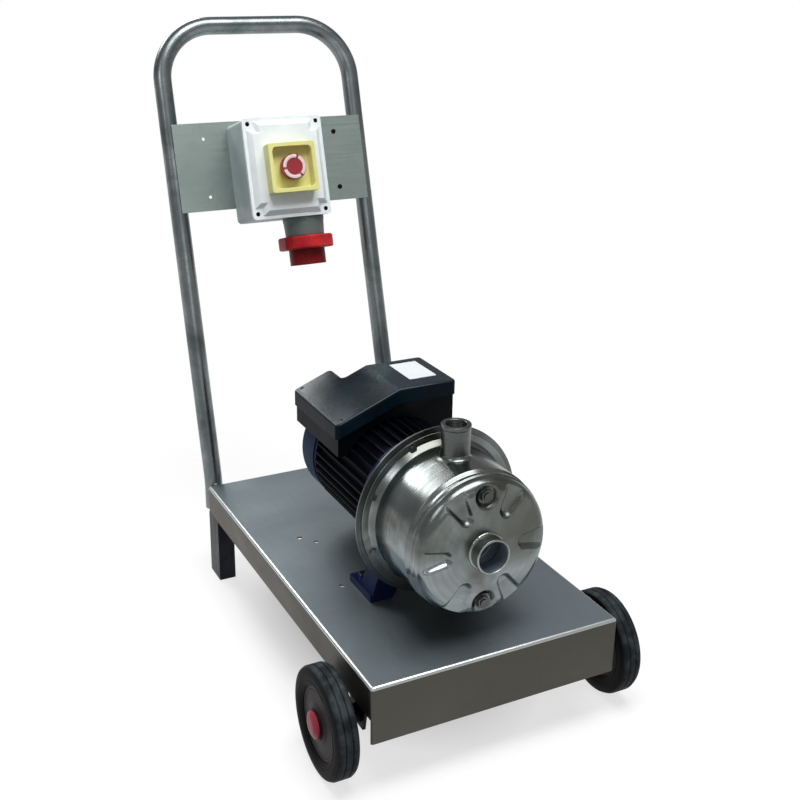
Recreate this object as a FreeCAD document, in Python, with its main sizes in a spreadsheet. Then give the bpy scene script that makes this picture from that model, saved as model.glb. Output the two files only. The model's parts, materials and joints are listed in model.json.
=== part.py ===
# Trolley-mounted centrifugal pump, in millimetres.
# Front of the trolley, with the wheels and the suction port, looks towards -Y; +Z is up.
# The origin lies on the floor, below the middle of the whole object.
import FreeCAD, Part
import Sketcher
import math
import os
import re

V = FreeCAD.Vector
doc = FreeCAD.newDocument("trolley_pump")
sheet = doc.addObject("Spreadsheet::Sheet", "sizes")

# Driving dimensions. Text that starts with = is worked out from the others.
SIZES = {
    # folded sheet tray
    "tray_wide": "400",
    "tray_long": "690",
    "tray_top": "168",
    "tray_sheet": "3",
    "front_flange": "88",
    "side_flange": "50",
    "bend_radius": "5",
    "spare_hole": "9",
    "spare_across": "250",
    "spare_front": "261",
    "spare_rear": "433",
    "drain_hole": "8",
    "drain_across": "210",
    "drain_y": "409",
    # rear legs
    "leg_wide": "30",
    "leg_deep": "50",
    "leg_wall": "2",
    "leg_tall": "=tray_top-side_flange",
    "end_plug_tall": "14",
    # push handle
    "tube_round": "32",
    "tube_wall": "2",
    "handle_across": "=tray_wide-tube_round",
    "handle_angle": "16.2",
    "handle_reach": "827",
    "handle_corner": "100",
    "handle_heel": "120",
    "handle_y": "=tray_long+tube_round/2",
    # plate across the handle
    "plate_low": "490",
    "plate_high": "649",
    "plate_thick": "3",
    "plate_hole": "6",
    "plate_hole_across": "256",
    "plate_hole_low": "515",
    "plate_hole_high": "620",
    # axle and wheels
    "wheel_round": "160",
    "wheel_wide": "35",
    "wheel_clear": "15",
    "wheel_face": "=tray_wide/2+wheel_clear",
    "axle_y": "75",
    "axle_round": "20",
    "axle_collar": "28",
    "axle_play": "0.05",
    "wheel_gap": "0.5",
    "tyre_bore": "104",
    "tyre_shoulder": "7",
    "tread_groove": "2.5",
    "hub_web": "9",
    "hub_barrel": "46",
    "hub_rim": "5",
    "cap_round": "40",
    "cap_dome": "7",
    "bracket_thick": "5",
    "bracket_long": "70",
    "bracket_in": "14",
    # pump axis and casing, measured from the face that the casing is bolted to
    "pump_x": "-6",
    "pump_y": "180",
    "pump_rise": "140",
    "casing_wall": "2",
    "casing_deep": "140",
    "drum_half": "107.5",
    "cap_half": "103.5",
    "lip_half": "105.5",
    "lip_back": "113",
    "lip_wide": "5",
    "face_round": "20",
    "face_dome": "2",
    "dome_half": "32",
    "flange_half": "125",
    "flange_thick": "3",
    "collar_half": "109.5",
    "collar_deep": "12",
    "petal_count": "6",
    "petal_deep": "7",
    "petal_inner": "55",
    "petal_nose": "9",
    "petal_outer": "118",
    "petal_flare": "20",
    "plug_ring": "82",
    "plug_seat": "27",
    "plug_seat_deep": "7",
    "plug_thread": "13",
    "plug_flats": "17",
    "bolt_ring": "232",
    "bolt_count": "8",
    "bolt_thread": "6",
    "bolt_flats": "10",
    "bolt_head": "4",
    "bolt_long": "12",
    "bolt_play": "0.3",
    # ports
    "suction_outside": "52",
    "suction_bore": "44.9",
    "suction_long": "20",
    "port_back_flange": "2",
    "discharge_outside": "42",
    "discharge_bore": "30.3",
    "discharge_y": "49",
    "discharge_top": "156",
    "discharge_lip": "1",
    # seal disc behind the casing
    "disc_half": "133",
    "disc_thick": "3",
    "ring_section": "4.3",
    "ring_play": "0.1",
    "spigot_wall": "4",
    "spigot_deep": "6",
    "seal_hub_half": "26",
    "seal_seat_half": "17",
    "seal_film": "0.1",
    # shaft
    "shaft_wet_half": "8",
    "shaft_seal_half": "9",
    "shaft_front_half": "10",
    "shaft_core_half": "12",
    "shaft_rear_half": "8.5",
    "shaft_fan_half": "7",
    "shaft_nut_half": "6",
    "shaft_front_end": "118",
    "shaft_rear_end": "288",
    # impellers and their stages
    "impeller_half": "76",
    "impeller_eye": "27",
    "impeller_hub": "14",
    "impeller_wall": "2",
    "impeller_gap": "9",
    "vane_count": "6",
    "vane_thick": "2",
    "first_impeller_y": "-96",
    "second_impeller_y": "-38",
    "stage_half": "92",
    "stage_wall": "2",
    "stage_play": "1",
    "guide_count": "7",
    # motor adapter with its foot
    "adapter_half": "128",
    "adapter_rim": "8",
    "motor_start": "60",
    "motor_end": "245",
    "adapter_wall": "9",
    "foot_half": "102",
    "foot_front": "16",
    "foot_rear": "90",
    "foot_plate": "12",
    "foot_web_end": "57",
    "foot_web_low": "98",
    "foot_web_high": "80",
    "foot_web_top": "72",
    "foot_bolt_across": "172",
    "foot_bolt_y": "75",
    "foot_bolt": "8",
    "foot_bolt_flats": "13",
    # motor
    "fin_tip": "95",
    "fin_root": "85",
    "housing_bore": "80",
    "fin_thick": "2",
    "fin_count": "40",
    "core_start": "92",
    "core_end": "200",
    "stator_bore": "48",
    "air_gap": "0.5",
    "winding_reach": "20",
    "winding_inner": "53",
    "winding_outer": "75",
    "front_bearing": "52",
    "front_bearing_wide": "15",
    "rear_bearing": "40",
    "rear_bearing_wide": "12",
    "race_share": "0.25",
    "ball_play": "0.3",
    "ball_count": "9",
    "cover_half": "94",
    "cover_wall": "1.8",
    "cover_start": "252",
    "cover_end": "307",
    "cover_round": "12",
    "cover_slots": "24",
    "slot_inner": "26",
    "slot_outer": "74",
    "slot_wide": "4",
    "shield_thick": "8",
    "fan_half": "74",
    "fan_hub": "14",
    "fan_start": "264",
    "fan_wide": "20",
    "fan_blades": "9",
    "fan_blade": "2.4",
    # terminal box, measured from the motor axis
    "box_left": "98.5",
    "box_right": "101.5",
    "box_bend": "5",
    "box_top": "143",
    "box_left_top": "101",
    "box_bottom": "46",
    "box_front": "140",
    "box_rear": "258",
    "box_tail": "308",
    "box_tail_right": "-38.5",
    "box_wall": "3",
    "box_skirt": "24",
    "box_proud": "4",
    "lid_corner": "8",
    "lid_edge": "4",
    "saddle_play": "0.3",
    "lid_screw": "7",
    "lid_screw_thread": "4",
    "plate_blank_thick": "0.6",
    "capacitor_round": "34",
    "capacitor_long": "116",
    "gland_thread": "20",
    "gland_flats": "24",
    # control box, measured along the handle plate
    "ctrl_x": "-8",
    "ctrl_low": "461",
    "ctrl_high": "640",
    "ctrl_wide": "150",
    "ctrl_deep": "81",
    "ctrl_wall": "3",
    "ctrl_corner": "8",
    "ctrl_post": "18",
    "gasket_thick": "1.5",
    "ctrl_lid": "6",
    "ctrl_panel": "9",
    "ctrl_rim": "6",
    "ctrl_shoulder": "8.5",
    "ctrl_notch": "20",
    "ctrl_screw": "8",
    "ctrl_screw_in": "10",
    "ctrl_bolt": "5",
    "ctrl_bolt_across": "90",
    "ctrl_bolt_up": "90",
    # emergency stop
    "stop_rise": "547",
    "shroud_side": "88",
    "shroud_tall": "24",
    "shroud_floor": "4",
    "shroud_well": "73",
    "shroud_round": "8",
    "stop_barrel": "22",
    "barrel_play": "0.1",
    "stop_stem": "12",
    "slide_play": "0.03",
    "stop_travel": "5",
    "mushroom_round": "46",
    "mushroom_tall": "18",
    # power inlet under the control box
    "inlet_x": "27",
    "inlet_out": "46",
    "inlet_entry": "40",
    "inlet_top": "76",
    "inlet_neck": "71",
    "inlet_tall": "34",
    "inlet_shell": "66",
    "inlet_shell_wall": "4",
    "inlet_ring": "100",
    "inlet_ring_tall": "24",
    "ring_flat": "3",
    "ring_flats": "6",
    "inlet_sleeve_end": "53",
    "inlet_ring_play": "0.1",
    "pin_ring": "34",
    "pin_round": "6",
}

for row, (name, value) in enumerate(SIZES.items(), 1):
    sheet.set(f"A{row}", name)
    sheet.set(f"B{row}", value)
    sheet.setAlias(f"B{row}", name)
doc.recompute()


def expression(text):
    """Put the sheet's name before every size named in a plain formula."""
    def named(word):
        return "sizes." + word.group() if word.group() in SIZES else word.group()
    return re.sub(r"[a-z]\w+", named, str(text))


def size(text):
    """Value of a plain formula of named sizes."""
    return float(sheet.evalExpression(expression(text)))


def new_body(label):
    body = doc.addObject("PartDesign::Body", label)
    body.Label = label
    return body


def sketch_on(body, role, name, offset="0"):
    """Sketch on one of the body's own origin planes, moved along the plane's normal."""
    plane = next(item for item in body.Origin.OriginFeatures if item.Role == role)
    sketch = body.newObject("Sketcher::SketchObject", name)
    sketch.AttachmentSupport = (plane, "")
    sketch.MapMode = "FlatFace"
    sketch.AttachmentOffset = FreeCAD.Placement(V(0, 0, size(offset)), FreeCAD.Rotation())
    sketch.setExpression("AttachmentOffset.Base.z", expression(offset))
    return sketch


def pin(sketch, kind, item, point, formula):
    """Hold one coordinate of a point at a formula of named sizes."""
    index = sketch.addConstraint(Sketcher.Constraint(kind, -1, 1, item, point, size(formula)))
    sketch.setExpression(f"Constraints[{index}]", expression(formula))


def outline(sketch, corners):
    """Closed outline of straight lines; each corner is a pair of formulas."""
    first = sketch.GeometryCount
    count = len(corners)
    spots = [V(size(across), size(up), 0) for across, up in corners]
    for step in range(count):
        sketch.addGeometry(Part.LineSegment(spots[step], spots[(step + 1) % count]))
    for step in range(count):
        following = first + (step + 1) % count
        sketch.addConstraint(Sketcher.Constraint("Coincident", first + step, 2, following, 1))
    for step, (across, up) in enumerate(corners):
        pin(sketch, "DistanceX", first + step, 1, across)
        pin(sketch, "DistanceY", first + step, 1, up)


def rectangle(sketch, left, right, low, high):
    outline(sketch, [(left, low), (right, low), (right, high), (left, high)])


def circle(sketch, across, up, radius):
    index = sketch.addGeometry(Part.Circle(V(size(across), size(up), 0), V(0, 0, 1), size(radius)))
    pin(sketch, "DistanceX", index, 3, across)
    pin(sketch, "DistanceY", index, 3, up)
    limit = sketch.addConstraint(Sketcher.Constraint("Radius", index, size(radius)))
    sketch.setExpression(f"Constraints[{limit}]", expression(radius))


def hexagon(sketch, across, up, flats):
    half = f"({flats})/2"
    tip = f"({flats})/sqrt(3)"
    corners = [(half, f"{tip}/2"), ("0", tip), (f"-{half}", f"{tip}/2"),
               (f"-{half}", f"-{tip}/2"), ("0", f"-{tip}"), (half, f"-{tip}/2")]
    outline(sketch, [(f"{across}+{right}", f"{up}+{rise}") for right, rise in corners])


def pad(body, sketch, length, back=False, both=False):
    """Material along the sketch's normal, against it with back, or half each way with both."""
    feature = body.newObject("PartDesign::Pad", sketch.Name + "_pad")
    feature.Profile = sketch
    feature.setExpression("Length", expression(length))
    feature.Reversed = back
    feature.SideType = "Symmetric" if both else "One side"
    body.Tip = feature
    return feature


def pocket(body, sketch, length, back=False, both=False):
    """Cut against the sketch's normal, along it with back, or half each way with both."""
    doc.recompute()
    before = body.Shape.Volume
    feature = body.newObject("PartDesign::Pocket", sketch.Name + "_cut")
    feature.Profile = sketch
    feature.setExpression("Length", expression(length))
    feature.Reversed = back
    feature.SideType = "Symmetric" if both else "One side"
    body.Tip = feature
    doc.recompute()
    if not body.Shape.Volume < before:
        raise RuntimeError(f"{sketch.Name} cuts nothing")
    return feature


def revolve(body, sketch, axis="V_Axis"):
    feature = body.newObject("PartDesign::Revolution", sketch.Name + "_turn")
    feature.Profile = sketch
    feature.ReferenceAxis = (sketch, [axis])
    feature.Angle = 360
    body.Tip = feature
    return feature


def turned(label, corners, axis="V_Axis"):
    """Body turned about local Y from (radius, y) corners, or about local X from (x, radius)."""
    body = new_body(label)
    sketch = sketch_on(body, "XY_Plane", label + "_profile")
    outline(sketch, corners)
    revolve(body, sketch, axis)
    return body


def around(body, features, role, count):
    """Repeat features evenly about one of the body's own axes."""
    doc.recompute()
    axis = next(item for item in body.Origin.OriginFeatures if item.Role == role)
    pattern = body.newObject("PartDesign::PolarPattern", features[0].Name + "_around")
    pattern.Originals = features
    pattern.Axis = (axis, [""])
    pattern.Angle = 360
    pattern.setExpression("Occurrences", expression(count))
    body.Tip = pattern
    return pattern


def edges_where(shape, test):
    return [f"Edge{index}" for index, edge in enumerate(shape.Edges, 1) if test(edge)]


def soften(body, kind, amount, test):
    """Fillet or chamfer the edges of the body's tip that pass the test."""
    doc.recompute()
    base = body.Tip
    feature = body.newObject("PartDesign::" + kind, base.Name + "_" + kind.lower())
    feature.Base = (base, edges_where(base.Shape, test))
    feature.setExpression("Radius" if kind == "Fillet" else "Size", expression(amount))
    body.Tip = feature
    return feature


def is_ring(radius, along, axis="y"):
    """Test for a full circle of one radius at one place on an axis."""
    wanted, place = size(radius), size(along)

    def test(edge):
        curve = edge.Curve
        if curve.TypeId != "Part::GeomCircle":
            return False
        return abs(curve.Radius - wanted) < 1e-3 and abs(getattr(curve.Center, axis) - place) < 1e-3
    return test


def is_upright(edge):
    start, end = edge.Vertexes[0].Point, edge.Vertexes[-1].Point
    return abs(start.x - end.x) < 1e-3 and abs(start.y - end.y) < 1e-3 and abs(start.z - end.z) > 1e-3


def is_along_y(edge):
    start, end = edge.Vertexes[0].Point, edge.Vertexes[-1].Point
    return abs(start.x - end.x) < 1e-3 and abs(start.z - end.z) < 1e-3 and abs(start.y - end.y) > 1e-3


def boolean(kind, label, base, tool):
    feature = doc.addObject("Part::" + kind, label)
    feature.Label = label
    feature.Base = base
    feature.Tool = tool
    return feature


def group(label, master, frames):
    """One node of several equal solids: copies of a master body at given frames."""
    doc.recompute()
    copies = []
    for frame in frames:
        copy = master.Shape.copy()
        copy.Placement = frame.multiply(copy.Placement)
        copies.append(copy)
    feature = doc.addObject("Part::Feature", label)
    feature.Label = label
    feature.Shape = Part.makeCompound(copies)
    return feature


def frame_at(x, y, z, turn=FreeCAD.Rotation()):
    return FreeCAD.Placement(V(x, y, z), turn)


NODES = []


def keep(feature, frame):
    """Place a finished sub-part and list it for writing."""
    feature.Placement = frame.multiply(feature.Placement)
    NODES.append(feature)


# Shared frames. The object's middle in Y lies between the wheel tread and the handle's rear.
lean = math.radians(size("handle_angle"))
top_bar = V(0, size("handle_y") + size("handle_reach") * math.sin(lean),
            size("tray_top") + size("handle_reach") * math.cos(lean))
object_front = size("axle_y - wheel_round/2")
object_rear = top_bar.y + size("tube_round/2")
middle_y = (object_front + object_rear) / 2
trolley = frame_at(0, -middle_y, 0)
pump = frame_at(size("pump_x"), size("pump_y") - middle_y, size("tray_top + pump_rise"))
leaning = frame_at(0, size("handle_y") - middle_y, size("tray_top"),
                   FreeCAD.Rotation(V(1, 0, 0), -size("handle_angle")))


# Tray: one folded sheet, deeper at the front than at the sides and rear.
def make_tray():
    body = new_body("tray")
    top = sketch_on(body, "XY_Plane", "tray_top_outline", "tray_top")
    rectangle(top, "-tray_wide/2", "tray_wide/2", "0", "tray_long")
    pad(body, top, "front_flange", back=True)
    upper = size("tray_top")
    soften(body, "Fillet", "bend_radius",
           lambda edge: abs(edge.CenterOfMass.z - upper) < 1e-3 or is_upright(edge))
    hollow = sketch_on(body, "XY_Plane", "tray_hollow", "tray_top-front_flange")
    rectangle(hollow, "-tray_wide/2+tray_sheet", "tray_wide/2-tray_sheet",
              "tray_sheet", "tray_long-tray_sheet")
    pocket(body, hollow, "front_flange-tray_sheet", back=True)
    trim = sketch_on(body, "YZ_Plane", "tray_side_trim")
    rectangle(trim, "tray_sheet", "tray_long+10", "tray_top-front_flange-10", "tray_top-side_flange")
    pocket(body, trim, "tray_wide+20", both=True)
    holes = sketch_on(body, "XY_Plane", "tray_holes", "tray_top")
    for side in ("-", "+"):
        circle(holes, f"{side}spare_across/2", "spare_front", "spare_hole/2")
        circle(holes, f"{side}spare_across/2", "spare_rear", "spare_hole/2")
        circle(holes, f"{side}drain_across/2", "drain_y", "drain_hole/2")
        circle(holes, f"pump_x{side}foot_bolt_across/2", "pump_y+foot_bolt_y", "foot_bolt/2")
    pocket(body, holes, "tray_sheet+1")
    keep(body, trolley)


def make_leg(label, left):
    body = new_body(label)
    section = sketch_on(body, "XY_Plane", label + "_section")
    rectangle(section, left, f"{left}+leg_wide", "tray_long-leg_deep", "tray_long")
    rectangle(section, f"{left}+leg_wall", f"{left}+leg_wide-leg_wall",
              "tray_long-leg_deep+leg_wall", "tray_long-leg_wall")
    pad(body, section, "leg_tall")
    keep(body, trolley)


def make_end_plugs():
    master = new_body("end_plug_master")
    section = sketch_on(master, "XY_Plane", "end_plug_section")
    rectangle(section, "-leg_wide/2+leg_wall", "leg_wide/2-leg_wall",
              "-leg_deep/2+leg_wall", "leg_deep/2-leg_wall")
    pad(master, section, "end_plug_tall")
    soften(master, "Fillet", "1.5", is_upright)
    hollow = sketch_on(master, "XY_Plane", "end_plug_hollow", "end_plug_tall")
    rectangle(hollow, "-leg_wide/2+leg_wall*2", "leg_wide/2-leg_wall*2",
              "-leg_deep/2+leg_wall*2", "leg_deep/2-leg_wall*2")
    pocket(master, hollow, "end_plug_tall-leg_wall*1.5")
    across = size("tray_wide/2-leg_wide/2")
    along = size("tray_long-leg_deep/2")
    plugs = group("leg_end_plugs", master, [frame_at(-across, along, 0), frame_at(across, along, 0)])
    keep(plugs, trolley)


def rounded_path(points, radii):
    """Straight runs joined by tangent arcs, one radius for each inner point."""
    edges = []
    start = points[0]
    for index, radius in enumerate(radii, 1):
        corner = points[index]
        incoming = (points[index - 1] - corner).normalize()
        outgoing = (points[index + 1] - corner).normalize()
        half_turn = incoming.getAngle(outgoing) / 2
        reach = radius / math.tan(half_turn)
        middle = (incoming + outgoing).normalize() * (radius / math.sin(half_turn) - radius)
        enter, leave = corner + incoming * reach, corner + outgoing * reach
        edges.append(Part.LineSegment(start, enter).toShape())
        edges.append(Part.Arc(enter, corner + middle, leave).toShape())
        start = leave
    edges.append(Part.LineSegment(start, points[-1]).toShape())
    return Part.Wire(edges)


def make_handle():
    half = size("handle_across/2")
    back = size("handle_y")
    foot = size("tray_top-side_flange")
    heel = size("tray_top")
    points = [V(-half, back, foot), V(-half, back, heel), V(-half, top_bar.y, top_bar.z),
              V(half, top_bar.y, top_bar.z), V(half, back, heel), V(half, back, foot)]
    bends = [size("handle_heel"), size("handle_corner"), size("handle_corner"), size("handle_heel")]
    path = doc.addObject("Part::Feature", "handle_path")
    path.Shape = rounded_path(points, bends)
    sweeps = []
    for name, radius in (("handle_outside", "tube_round/2"), ("handle_inside", "tube_round/2-tube_wall")):
        ring = doc.addObject("Part::Circle", name + "_ring")
        ring.setExpression("Radius", expression(radius))
        ring.Placement = frame_at(-half, back, foot)
        sweep = doc.addObject("Part::Sweep", name)
        sweep.Sections = [ring]
        sweep.Spine = (path, [f"Edge{number}" for number in range(1, len(path.Shape.Edges) + 1)])
        sweep.Solid = True
        sweeps.append(sweep)
    keep(boolean("Cut", "handle_tube", sweeps[0], sweeps[1]), trolley)


def make_cross_plate():
    body = new_body("cross_plate")
    sheet_face = sketch_on(body, "XZ_Plane", "cross_plate_outline", "tube_round/2")
    rectangle(sheet_face, "-handle_across/2", "handle_across/2", "plate_low", "plate_high")
    for side in ("-", "+"):
        for height in ("plate_hole_low", "plate_hole_high"):
            circle(sheet_face, f"{side}plate_hole_across/2", height, "plate_hole/2")
        for rise in ("-", "+"):
            circle(sheet_face, f"ctrl_x{side}ctrl_bolt_across/2",
                   f"(ctrl_low+ctrl_high)/2{rise}ctrl_bolt_up/2", "ctrl_bolt/2")
    pad(body, sheet_face, "plate_thick")
    keep(body, leaning)


# Axle: a turned bar with a collar inside each wheel, carried by two plates under the tray.
def make_axle():
    collar = "wheel_face-wheel_gap"
    bracket = "tray_wide/2-bracket_in-bracket_thick"
    end = "wheel_face+wheel_wide+wheel_gap+cap_dome/2"
    right = [(end, "0"), (end, "axle_round/2"), (collar, "axle_round/2"), (collar, "axle_collar/2"),
             (f"{bracket}+bracket_thick", "axle_collar/2"), (f"{bracket}+bracket_thick", "axle_round/2")]
    left = [(f"-({across})", up) for across, up in reversed(right)]
    body = turned("axle", right + left, "H_Axis")
    keep(body, trolley.multiply(frame_at(0, size("axle_y"), size("wheel_round/2"))))


def make_axle_brackets():
    master = new_body("axle_bracket_master")
    section = sketch_on(master, "YZ_Plane", "axle_bracket_outline")
    rise = "tray_top-tray_sheet-wheel_round/2"
    foot = "axle_collar/2+4"
    outline(section, [("-bracket_long/2", rise), ("-bracket_long/2", f"{rise}-20"), (f"-({foot})", f"-({foot})"),
                      (foot, f"-({foot})"), ("bracket_long/2", f"{rise}-20"), ("bracket_long/2", rise)])
    circle(section, "0", "0", "axle_round/2")
    pad(master, section, "bracket_thick", both=True)
    across = size("tray_wide/2-bracket_in-bracket_thick/2")
    along, rise = size("axle_y"), size("wheel_round/2")
    places = [frame_at(-across, along, rise), frame_at(across, along, rise)]
    keep(group("axle_brackets", master, places), trolley)


def make_axle_caps():
    """Domed caps pushed over the axle ends."""
    start = "wheel_face+wheel_wide+wheel_gap"
    body = turned("axle_cap_master", [
        (start, "axle_round/2"), (start, "cap_round/2-1"), (f"{start}+1", "cap_round/2"),
        (f"{start}+cap_dome*0.5", "cap_round/2"), (f"{start}+cap_dome*0.85", "cap_round/2-4"),
        (f"{start}+cap_dome", "cap_round/2-9"), (f"{start}+cap_dome", "0"),
        (f"{start}+cap_dome/2", "0"), (f"{start}+cap_dome/2", "axle_round/2")], "H_Axis")
    along, rise = size("axle_y"), size("wheel_round/2")
    turn = FreeCAD.Rotation(V(0, 0, 1), 180)
    places = [frame_at(0, along, rise, turn), frame_at(0, along, rise)]
    keep(group("axle_caps", body, places), trolley)


def make_wheel(side, turn):
    """Solid rubber tyre with two tread grooves on a ribbed centre."""
    place = trolley.multiply(frame_at(0, size("axle_y"), size("wheel_round/2"), turn))
    inner, outer = "wheel_face", "wheel_face+wheel_wide"
    tread = "wheel_round/2"
    tyre = turned(f"wheel_{side}_tyre", [
        (f"{inner}+4", "tyre_bore/2"), (f"{inner}+1", "tyre_bore/2+6"), (inner, f"{tread}-tyre_shoulder-4"),
        (f"{inner}+2", f"{tread}-tyre_shoulder*0.3"), (f"{inner}+tyre_shoulder", tread),
        (f"{inner}+wheel_wide/2-6", tread), (f"{inner}+wheel_wide/2-5", f"{tread}-tread_groove"),
        (f"{inner}+wheel_wide/2-4", tread), (f"{inner}+wheel_wide/2+4", tread),
        (f"{inner}+wheel_wide/2+5", f"{tread}-tread_groove"), (f"{inner}+wheel_wide/2+6", tread),
        (f"{outer}-tyre_shoulder", tread), (f"{outer}-2", f"{tread}-tyre_shoulder*0.3"),
        (outer, f"{tread}-tyre_shoulder-4"), (f"{outer}-1", "tyre_bore/2+6"), (f"{outer}-4", "tyre_bore/2")],
        "H_Axis")
    keep(tyre, place)
    middle = f"({inner}+wheel_wide/2)"
    bore = "axle_round/2+axle_play"
    rim = "tyre_bore/2"
    hub = turned(f"wheel_{side}_hub", [
        (inner, bore), (inner, "hub_barrel/2-1"), (f"{inner}+6", "hub_barrel/2"),
        (f"{middle}-hub_web/2", "hub_barrel/2+2"), (f"{middle}-hub_web/2", f"{rim}-hub_rim"),
        (f"{inner}+5", f"{rim}-hub_rim+1"), (f"{inner}+5", rim), (f"{outer}-5", rim),
        (f"{outer}-5", f"{rim}-hub_rim+1"), (f"{middle}+hub_web/2", f"{rim}-hub_rim"),
        (f"{middle}+hub_web/2", "hub_barrel/2+2"), (f"{outer}-6", "hub_barrel/2"),
        (outer, "hub_barrel/2-1"), (outer, bore)], "H_Axis")
    rib = sketch_on(hub, "XZ_Plane", f"wheel_{side}_rib", "-1.5")
    rectangle(rib, f"{inner}+7", f"{outer}-7", "hub_barrel/2-2", f"{rim}-hub_rim/2")
    ribs = pad(hub, rib, "3")
    around(hub, [ribs], "X_Axis", "8")
    keep(hub, place)


# Casing: a pressed drum with six petals round the suction port.
def petal(sketch, grow):
    """Petal along +X: a round nose towards the axis and two sides that flare to the rim."""
    nose = f"(petal_nose+{grow})"
    centre = "petal_inner+petal_nose"
    far = f"petal_outer+{grow}"
    flare = f"petal_flare+{grow}"
    radius, hub, reach, half = size(nose), size(centre), size(far), size(flare)
    run = math.hypot(reach - hub, half)
    angle = math.pi / 2 + math.atan2(half, reach - hub) - math.asin(radius / run)
    touch = V(hub + radius * math.cos(angle), radius * math.sin(angle), 0)
    low = V(touch.x, -touch.y, 0)
    upper_end, lower_end = V(reach, half, 0), V(reach, -half, 0)
    sketch.addGeometry(Part.Arc(touch, V(hub - radius, 0, 0), low))
    sketch.addGeometry(Part.LineSegment(low, lower_end))
    sketch.addGeometry(Part.LineSegment(lower_end, upper_end))
    sketch.addGeometry(Part.LineSegment(upper_end, touch))
    sketch.addConstraint(Sketcher.Constraint("Coincident", 1, 2, 2, 1))
    sketch.addConstraint(Sketcher.Constraint("Coincident", 2, 2, 3, 1))
    arc_start, arc_end = (1, 2)
    if (sketch.getPoint(0, 1) - low).Length < (sketch.getPoint(0, 2) - low).Length:
        arc_start, arc_end = (2, 1)
    sketch.addConstraint(Sketcher.Constraint("Tangent", 0, arc_end, 1, 1))
    sketch.addConstraint(Sketcher.Constraint("Tangent", 0, arc_start, 3, 2))
    pin(sketch, "DistanceX", 0, 3, centre)
    pin(sketch, "DistanceY", 0, 3, "0")
    limit = sketch.addConstraint(Sketcher.Constraint("Radius", 0, radius))
    sketch.setExpression(f"Constraints[{limit}]", expression(nose))
    pin(sketch, "DistanceX", 2, 1, far)
    pin(sketch, "DistanceY", 2, 1, f"-({flare})")
    pin(sketch, "DistanceX", 2, 2, far)
    pin(sketch, "DistanceY", 2, 2, flare)


def press_in(body, prefix, grow):
    """Petals and plug seats sunk into the casing's face; grow makes the cavity's larger copy."""
    clear = "face_dome+1"
    shape = sketch_on(body, "XZ_Plane", prefix + "_petal", f"casing_deep+{clear}")
    petal(shape, grow)
    first = pocket(body, shape, f"petal_deep+{clear}+{grow}")
    around(body, [first], "Y_Axis", "petal_count")
    seats = sketch_on(body, "XZ_Plane", prefix + "_seats", f"casing_deep+{clear}")
    for side in ("-", ""):
        circle(seats, "0", f"{side}plug_ring", f"plug_seat/2+{grow}")
    pocket(body, seats, f"plug_seat_deep+{clear}+{grow}")


def make_casing():
    outer = turned("casing_outer", [
        ("0", "0"), ("flange_half", "0"), ("flange_half", "-flange_thick"),
        ("collar_half", "-flange_thick"), ("collar_half-1", "-collar_deep+2"), ("drum_half+1", "-collar_deep"),
        ("drum_half", "-collar_deep-4"), ("drum_half", "-lip_back+lip_wide+3"),
        ("cap_half-0.5", "-lip_back+lip_wide-1"), ("cap_half-0.5", "-lip_back+1"), ("lip_half", "-lip_back"),
        ("lip_half", "-lip_back-lip_wide+1"), ("cap_half", "-lip_back-lip_wide-1"),
        ("cap_half", "-casing_deep"), ("dome_half", "-casing_deep-face_dome"),
        ("0", "-casing_deep-face_dome")])
    soften(outer, "Fillet", "face_round", is_ring("cap_half", "-casing_deep"))
    press_in(outer, "casing_face", "0")
    inner = "casing_deep-casing_wall"
    cavity = turned("casing_cavity", [
        ("0", "0"), ("drum_half-casing_wall", "0"), ("drum_half-casing_wall", "-lip_back+lip_wide+4"),
        ("cap_half-casing_wall-0.5", "-lip_back+lip_wide"), ("cap_half-casing_wall", f"-({inner})"),
        ("dome_half", f"-({inner})-face_dome"), ("0", f"-({inner})-face_dome")])
    soften(cavity, "Fillet", "face_round-casing_wall", is_ring("cap_half-casing_wall", f"-({inner})"))
    press_in(cavity, "cavity_face", "casing_wall")
    shell = boolean("Cut", "casing_shell", outer, cavity)
    holes = new_body("casing_holes")
    front = sketch_on(holes, "XZ_Plane", "casing_front_holes", "casing_deep+20")
    circle(front, "0", "0", "suction_outside/2")
    for side in ("-", ""):
        circle(front, "0", f"{side}plug_ring", "plug_thread/2")
    pad(holes, front, "60", back=True)
    top = sketch_on(holes, "XY_Plane", "casing_top_hole", "drum_half-20")
    circle(top, "0", "-discharge_y", "discharge_outside/2")
    pad(holes, top, "60")
    bolt = sketch_on(holes, "XZ_Plane", "casing_bolt_hole", "flange_thick+2")
    circle(bolt, "bolt_ring/2*cos(22.5)", "bolt_ring/2*sin(22.5)", "bolt_thread/2+bolt_play")
    one = pad(holes, bolt, "flange_thick+4", back=True)
    around(holes, [one], "Y_Axis", "bolt_count")
    keep(boolean("Cut", "pump_casing", shell, holes), pump)


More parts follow.
